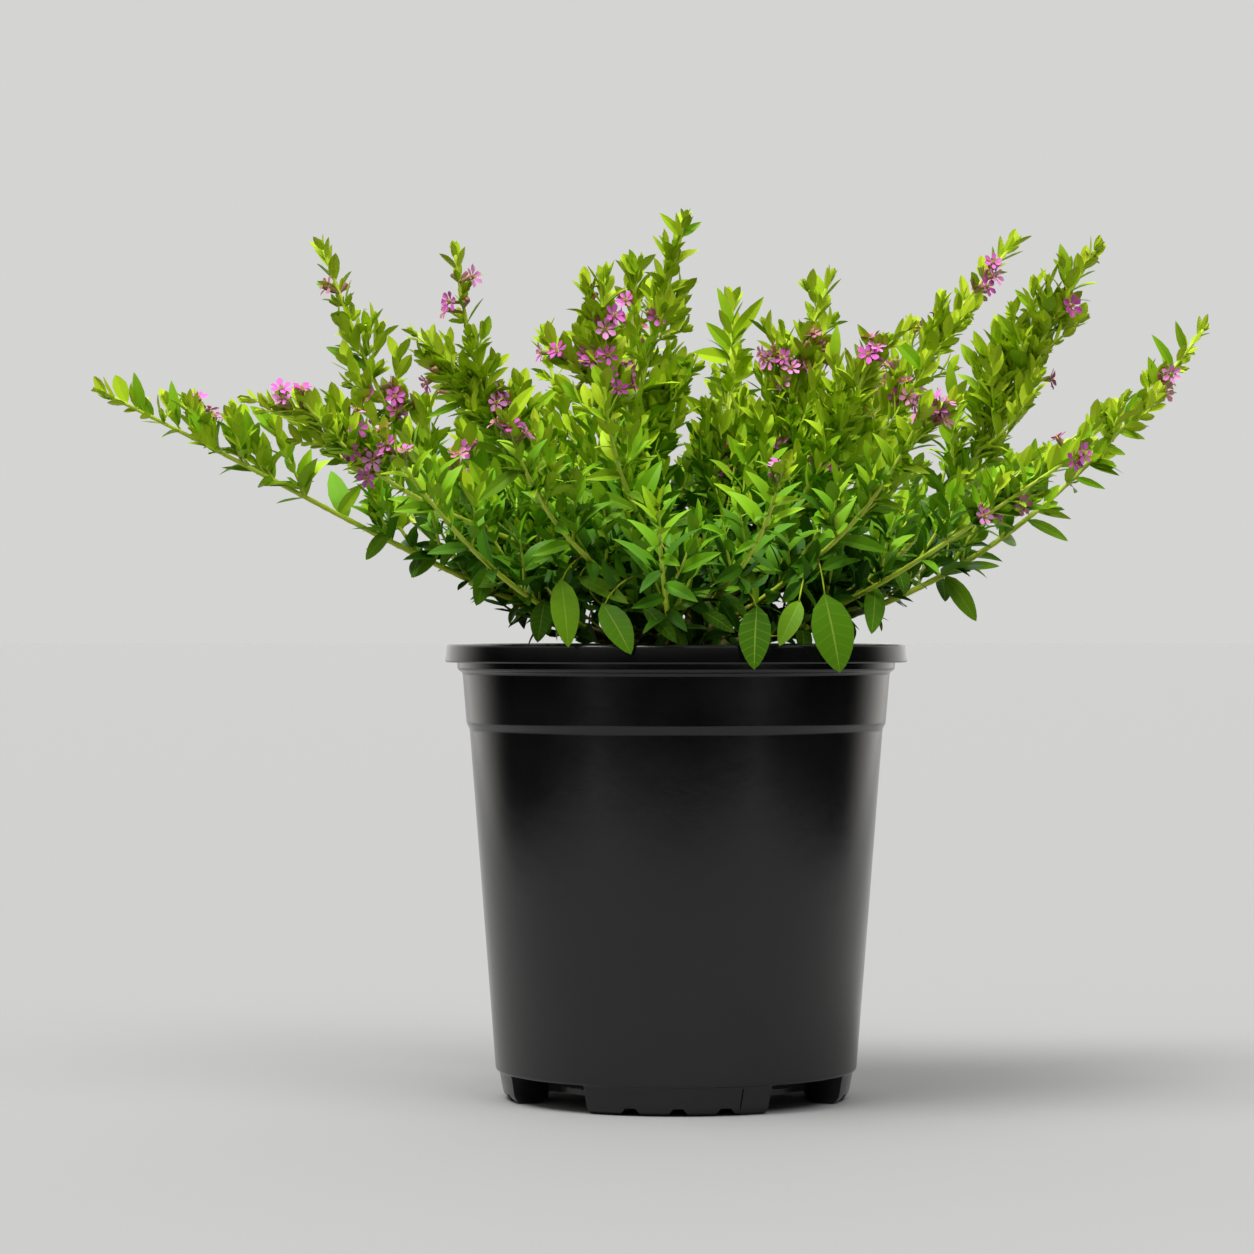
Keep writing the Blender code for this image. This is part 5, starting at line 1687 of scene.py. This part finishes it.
# Bits on the mix: solid, count, least and most length, least and most shares of it for width and for
# thickness, looks, tilt, roughness, and the radius round the crown that stays clear
CHIPS = (CUBE, 900, (2.5 * MM, 12.0 * MM), (0.35, 0.75), (0.16, 0.34), (0, 0, 1, 2, 3), 0.28, 0.30, 21.0 * MM)
CRUMBS = (GEM, 4200, (0.9 * MM, 2.8 * MM), (0.5, 1.0), (0.4, 0.9), (0, 1, 1, 2, 3, 3), 0.8, 0.35, 17.0 * MM)
PERLITE = (GEM, 90, (1.4 * MM, 3.6 * MM), (0.7, 1.0), (0.6, 0.9), (0,), 0.9, 0.3, 21.0 * MM)
LITTER = 46


def mix_height(x, y):
    """Height of the mix: a gentle fall to the wall, hollows and lumps."""
    radius = math.hypot(x, y) / MIX_RADIUS
    place = Vector((x / MM, y / MM, 0.0))
    lumps = 0.9 * noise.noise(place * 0.055) + 0.55 * noise.noise(place * 0.17)
    lumps += 0.28 * noise.noise(place * 0.6)
    return MIX_HEIGHT + (1.9 - 0.9 * radius ** 2 + max(lumps, -0.7) * 0.8) * MM


def build_mix_surface(material):
    """The mix that fills the pot: a lumpy top, then the wall's own shape down to the floor."""
    rings = MIX_RINGS + len(MIX_WALL)
    points = [(0.0, 0.0, mix_height(0.0, 0.0))]
    for ring in range(1, rings):
        for step in range(MIX_SEGMENTS):
            angle = 2 * math.pi * step / MIX_SEGMENTS
            if ring < MIX_RINGS:
                x, y = polar(MIX_RADIUS * ring / MIX_RINGS, angle)
                points.append((x, y, mix_height(x, y)))
            else:
                radius, height = MIX_WALL[ring - MIX_RINGS]
                points.append((*polar(radius, angle), height))
    fan = [(0, 1 + step, 1 + (step + 1) % MIX_SEGMENTS) for step in range(MIX_SEGMENTS)]
    walls = []
    for ring in range(rings - 2):
        base = 1 + ring * MIX_SEGMENTS
        below = base + MIX_SEGMENTS
        for step in range(MIX_SEGMENTS):
            onward = (step + 1) % MIX_SEGMENTS
            walls.append((base + step, below + step, below + onward, base + onward))
    bag = Bag()
    bag.add(np.array(points), np.array(fan), 0)
    bag.more(0, np.array(walls), 0)
    return bag.piece("mix_surface", [material], "potting_mix", ["potting_mix"])


def scatter(bag, dice, solid, count, lengths, widths, thicknesses, looks, tilt, jitter, keep_out):
    """Broken bits of a solid strewn over the mix."""
    corners, faces = solid
    least, most = lengths
    for _ in range(count):
        long = least + (most - least) * dice.random() ** 2.2
        radius = math.sqrt(dice.random()) * (MIX_RADIUS - long * 0.55)
        if radius < keep_out:
            continue
        x, y = polar(radius, dice.uniform(0, 2 * math.pi))
        half = Vector((long, long * dice.uniform(*widths), long * dice.uniform(*thicknesses))) / 2
        turn = Matrix.Rotation(dice.uniform(0, 6.3), 3, "Z") @ Matrix.Rotation(dice.gauss(0, tilt), 3, "X")
        turn = turn @ Matrix.Rotation(dice.gauss(0, tilt), 3, "Y")
        place = Vector((x, y, mix_height(x, y) + half.z * dice.uniform(0.1, 0.9)))
        points = []
        for corner in corners:
            rough = Vector([value * (1.0 + dice.uniform(-jitter, jitter)) for value in corner])
            points.append(place + turn @ (rough * half))
        bag.add(rows_of(points), faces, dice.choice(looks))


def fits_the_neck(points):
    return (np.hypot(points[..., 0], points[..., 1]) < MIX_RADIUS - 0.3 * MM).all(axis=1)


def build_mix_bits():
    dice = random.Random(SEED * 7)
    chips = Bag()
    scatter(chips, dice, *CHIPS)
    scatter(chips, dice, *CRUMBS)
    chips.piece("bark_chips", palette("chip", CHIP_TONES, 0.9, 0.25), "potting_mix", [], smooth=False)
    perlite = Bag()
    scatter(perlite, dice, *PERLITE)
    white = principled("perlite_white", PERLITE_TONE, 0.9, 0.2)
    perlite.piece("perlite", [white], "potting_mix", [], smooth=False)
    litter = Blades(lanceolate, (0.20, 0.46, 0.76))
    for _ in range(LITTER):
        radius = math.sqrt(dice.uniform(0.1, 0.92)) * MIX_RADIUS
        x, y = polar(radius, dice.uniform(0, 2 * math.pi))
        along = Vector((dice.gauss(0, 1), dice.gauss(0, 1), 0.12))
        length = dice.uniform(6, 17) * MM
        root = Vector((x, y, mix_height(x, y) + 1.3 * MM))
        litter.add(root, along, UP, length, length * 0.34, dice.uniform(0.2, 1.0), 0.5,
                   dice.choice((0, 0, 1, 1, 2)))
    bag = Bag()
    litter.fill(bag, fits_the_neck)
    bag.piece("leaf_litter", palette("litter", LITTER_TONES, 0.8, 0.3), "potting_mix", [])


# Pot

# A raised line down the lug in front: how far aside, how far it leans, half its width and its height
MOULD_LINE_ASIDE = 22.8 * MM
MOULD_LINE_LEAN = 1.2 * MM
MOULD_LINE_HALF_WIDTH = 0.28 * MM
MOULD_LINE_DEPTH = 0.7 * MM
# Cutters end this far out of what they cut
PAST_THE_FOOT = 5.0 * MM
SHARP_ANGLE = 38


def rounded(profile, steps=4):
    """A profile of (radius, height, corner radius) with each corner turned into an arc."""
    points = []
    for index, (radius, height, size) in enumerate(profile):
        if not size or index in (0, len(profile) - 1):
            points.append((radius, height))
            continue
        here = Vector((radius, height))
        before = Vector(profile[index - 1][:2]) - here
        after = Vector(profile[index + 1][:2]) - here
        reach = min(size, before.length * 0.45, after.length * 0.45)
        start = here + before.normalized() * reach
        end = here + after.normalized() * reach
        for step in range(steps + 1):
            share = step / steps
            point = start * (1 - share) ** 2 + here * 2 * share * (1 - share) + end * share ** 2
            points.append(tuple(point))
    return points


def pot_profile():
    """The pot's section: up the inside from the middle of the floor, over the rim and down."""
    floor_top = FLOOR_UNDERSIDE + 1.8 * MM
    ledge = LUG_TOP + 2.4 * MM
    inner_rim = NECK_TOP_RADIUS - WALL
    inner_lug = LUG_INNER_RADIUS - LUG_WALL
    return rounded([
        (0.0, floor_top, 0),
        (inner_lug, floor_top, 0.8 * MM),
        (inner_lug, ledge, 0.8 * MM),
        (BODY_FOOT_RADIUS - WALL, ledge, 1.2 * MM),
        (BODY_TOP_RADIUS - WALL, BODY_TOP, 0.6 * MM),
        (NECK_FOOT_RADIUS - WALL, NECK_FOOT + WALL / 2, 0.6 * MM),
        (inner_rim, BEAD_BOTTOM, 0.4 * MM),
        (inner_rim, RIM_TOP, 1.0 * MM),
        (RIM_RADIUS - 0.5 * MM, RIM_TOP, 1.3 * MM),
        (RIM_RADIUS, RIM_FOOT + 0.4 * MM, 0.5 * MM),
        (RIM_RADIUS - 0.4 * MM, RIM_FOOT - 0.1 * MM, 0.4 * MM),
        (BEAD_RADIUS + 0.2 * MM, RIM_FOOT + 0.2 * MM, 0.4 * MM),
        (BEAD_RADIUS, BEAD_BOTTOM + 0.5 * MM, 0.8 * MM),
        (NECK_TOP_RADIUS, BEAD_BOTTOM - 0.6 * MM, 0.8 * MM),
        (NECK_FOOT_RADIUS, NECK_FOOT, 0.7 * MM),
        (BODY_TOP_RADIUS, BODY_TOP, 0.9 * MM),
        (BODY_FOOT_RADIUS, BODY_FOOT, 0.9 * MM),
        (LUG_TOP_RADIUS, LUG_TOP, 0.6 * MM),
        (LUG_FOOT_RADIUS, LUG_CHAMFER, 1.2 * MM),
        (LUG_FOOT_RADIUS - LUG_CHAMFER, 0.0, 1.2 * MM),
        (LUG_INNER_RADIUS, 0.0, 0.4 * MM),
        (LUG_INNER_RADIUS, FLOOR_UNDERSIDE, 0.8 * MM),
        (0.0, FLOOR_UNDERSIDE, 0),
    ])


def shaped_block(name, cutters, place_corner, turn):
    """A block whose corners are placed one by one and then turned round the pot's axis."""
    shape = bmesh.new()
    bmesh.ops.create_cube(shape, size=2.0)
    for corner in shape.verts:
        corner.co = place_corner(corner.co.x > 0, corner.co.y > 0, corner.co.z > 0)
    matrix = Matrix.Rotation(math.radians(turn), 4, "Z")
    bmesh.ops.transform(shape, matrix=matrix, verts=shape.verts)
    return placed_shape(name, shape, cutters)


def foot_ring_cutters(cutters):
    """Gaps between the four lugs, drain slots behind them, notches under them and a mould line."""
    half_gap = (90.0 - WIDE_LUG_HALF_ANGLE - NARROW_LUG_HALF_ANGLE) / 2
    spread = (90.0 + WIDE_LUG_HALF_ANGLE - NARROW_LUG_HALF_ANGLE) / 2

    def gap(outer, left, high):
        angle = math.radians((half_gap + (0.0 if high else 1.0)) * (1 if left else -1))
        x, y = polar(RIM_RADIUS if outer else LUG_INNER_RADIUS, angle)
        return x, y, LUG_TOP + 0.3 * MM if high else -PAST_THE_FOOT

    def drain(outer, left, high):
        reach = LUG_INNER_RADIUS + (PAST_THE_FOOT if outer else -PAST_THE_FOOT)
        return reach, DRAIN_WIDTH / 2 * (1 if left else -1), DRAIN_BOTTOM + (DRAIN_HEIGHT if high else 0.0)

    def mould_line(outer, left, high):
        across = MOULD_LINE_ASIDE + (0.0 if high else -MOULD_LINE_LEAN)
        across += MOULD_LINE_HALF_WIDTH if left else -MOULD_LINE_HALF_WIDTH
        surface = math.sqrt((LUG_TOP_RADIUS if high else LUG_FOOT_RADIUS) ** 2 - across ** 2)
        depth = surface + 3.0 * MM if outer else surface - MOULD_LINE_DEPTH
        return depth, across, LUG_TOP - 0.4 * MM if high else 1.6 * MM

    for side, middle in enumerate((-90.0 + spread, 90.0 - spread, 90.0 + spread, -90.0 - spread)):
        shaped_block(f"gap_{side}", cutters, gap, middle)
        shaped_block(f"drain_{side}", cutters, drain, middle)
        for place in (-1, 0, 1):
            def notch(outer, left, high):
                half = NOTCH_CREST / 2 if high else NOTCH_MOUTH / 2 + 0.15 * MM
                across = place * NOTCH_PITCH + (half if left else -half)
                reach = RIM_RADIUS if outer else LUG_INNER_RADIUS / 2
                return reach, across, NOTCH_DEPTH if high else -0.2 * MM

            shaped_block(f"notch_{side}_{place + 1}", cutters, notch, -90.0 + 90.0 * side)
    shaped_block("mould_line", cutters, mould_line, -90.0)


def apply_modifiers(item):
    bpy.context.view_layer.update()
    view = bpy.context.evaluated_depsgraph_get()
    mesh = bpy.data.meshes.new_from_object(item.evaluated_get(view))
    item.modifiers.clear()
    item.data = mesh


def build_pot(material):
    """The profile turned round the axis, less the cutters."""
    shape = bmesh.new()
    corners = [shape.verts.new((radius, 0.0, height)) for radius, height in pot_profile()]
    for start, end in zip(corners, corners[1:]):
        shape.edges.new((start, end))
    pot = placed_shape("nursery_pot", shape)
    screw = pot.modifiers.new("Turn", "SCREW")
    screw.steps = POT_SEGMENTS
    screw.render_steps = POT_SEGMENTS
    screw.use_merge_vertices = True
    screw.merge_threshold = 0.00001
    cutters = bpy.data.collections.new("cutters")
    bpy.context.scene.collection.children.link(cutters)
    foot_ring_cutters(cutters)
    cut = pot.modifiers.new("Cut", "BOOLEAN")
    cut.operation = "DIFFERENCE"
    cut.operand_type = "COLLECTION"
    cut.collection = cutters
    cut.solver = "EXACT"
    apply_modifiers(pot)
    for item in list(cutters.objects):
        bpy.data.objects.remove(item, do_unlink=True)
    bpy.data.collections.remove(cutters)
    pot.data.materials.clear()
    pot.data.materials.append(material)
    pot.data.shade_smooth()
    pot.data.set_sharp_from_angle(angle=math.radians(SHARP_ANGLE))
    return settle(pot, ["pot"])


# Stage, light and camera

FLOOR_CORNERS = [(-0.42, -0.46, 0.0), (0.42, -0.46, 0.0), (9.0, 40.0, 0.0), (-9.0, 40.0, 0.0)]
FLOOR_COLOUR = (0.318, 0.323, 0.331)
# The colour of the far floor under the key light
BACKDROP_COLOUR = (0.66, 0.66, 0.65, 1.0)
SURROUNDINGS_COLOUR = (1.0, 0.98, 0.93, 1.0)
# Bright surroundings behind and above: a direction, and the limits of map_range, which take the cosine of
# the angle to that direction to a brightness
BEHIND = ((0.0, 1.0, 0.0), (0.32, 0.84, 0.0, 1.12))
ABOVE = ((-0.10, -0.10, 0.99), (0.15, 0.90, 0.0, 0.82))


def build_stage():
    """A long pale floor that widens away from the camera, so that its sides stay out of sight."""
    shape = bmesh.new()
    shape.faces.new([shape.verts.new(corner) for corner in FLOOR_CORNERS])
    floor = placed_shape("studio_floor", shape)
    floor.data.materials.append(principled("pale_floor", FLOOR_COLOUR, 0.85, 0.1))


def sun_light(name, place, strength, angle, colour):
    data = bpy.data.lights.new(name, "SUN")
    data.energy = strength
    data.angle = math.radians(angle)
    data.color = colour
    lamp = placed(name, data)
    lamp.location = place
    lamp.rotation_euler = Vector(place).to_track_quat("Z", "Y").to_euler()
    return lamp


def spread_along(tree, toward, axis, limits):
    """Brightness that rises smoothly as a direction nears an axis."""
    along = add_node(tree, "VectorMath", {0: toward, 1: axis}, "Value", operation="DOT_PRODUCT")
    return map_range(tree, along, limits, "SMOOTHSTEP")


def build_light():
    """A soft key from the upper left, and pale surroundings that are bright behind and dim in front."""
    world = bpy.context.scene.world or bpy.data.worlds.new("studio")
    bpy.context.scene.world = world
    world.use_nodes = True
    tree = world.node_tree
    fill = tree.nodes["Background"]
    fill.inputs["Color"].default_value = SURROUNDINGS_COLOUR
    toward = add_node(tree, "TexCoord", {}, "Generated")
    behind = spread_along(tree, toward, *BEHIND)
    above = spread_along(tree, toward, *ABOVE)
    tree.links.new(add_node(tree, "Math", {0: behind, 1: above}, "Value"), fill.inputs["Strength"])
    backdrop = add_node(tree, "Background", {"Color": BACKDROP_COLOUR}, "Background")
    seen = add_node(tree, "LightPath", {}, "Is Camera Ray")
    inputs = {"Fac": seen, 1: fill.outputs["Background"], 2: backdrop}
    either = add_node(tree, "MixShader", inputs, "Shader")
    tree.links.new(either, tree.nodes["World Output"].inputs["Surface"])
    sun_light("key", (-0.5, -0.45, 1.5), strength=3.2, angle=30.0, colour=(1.0, 0.985, 0.95))
    front_fill = sun_light("front_fill", (0.7, -1.0, 1.5), strength=1.1, angle=30.0, colour=(1.0, 1.0, 1.0))
    front_fill.visible_glossy = False


def build_camera():
    data = bpy.data.cameras.new("camera")
    data.lens = CAMERA_LENS
    data.sensor_width = CAMERA_SENSOR
    data.clip_start = 0.05
    data.clip_end = 100.0
    camera = placed("camera", data)
    camera.location = CAMERA_PLACE
    camera.rotation_euler = (math.radians(90.0), 0.0, 0.0)
    bpy.context.scene.camera = camera


def main():
    build_stage()
    build_light()
    build_camera()
    bpy.context.scene.view_settings.view_transform = "Standard"
    stem_bark = bark("stem_bark_olive", *STEM_BARK)
    crown_bark = bark("crown_bark", *CROWN_BARK)
    greens = palette("leaf_green", LEAF_GREENS, 0.46, 0.12)
    old_tones = OLD_LEAF_GREENS + [OLD_LEAF_VEIN, OLD_LEAF_RIB]
    old_greens = palette("old_leaf_green", old_tones, 0.48, 0.16)
    twig_tones = palette("twig", TWIG_TONES, 0.5, 0.2)
    shoots = make_shoots()
    foliages = build_foliage(shoots, greens, old_greens, twig_tones)
    build_blossom(foliages)
    build_stems(shoots, stem_bark)
    build_crown(crown_bark)
    build_mix_surface(mix_ground())
    build_mix_bits()
    build_pot(pot_plastic())


main()
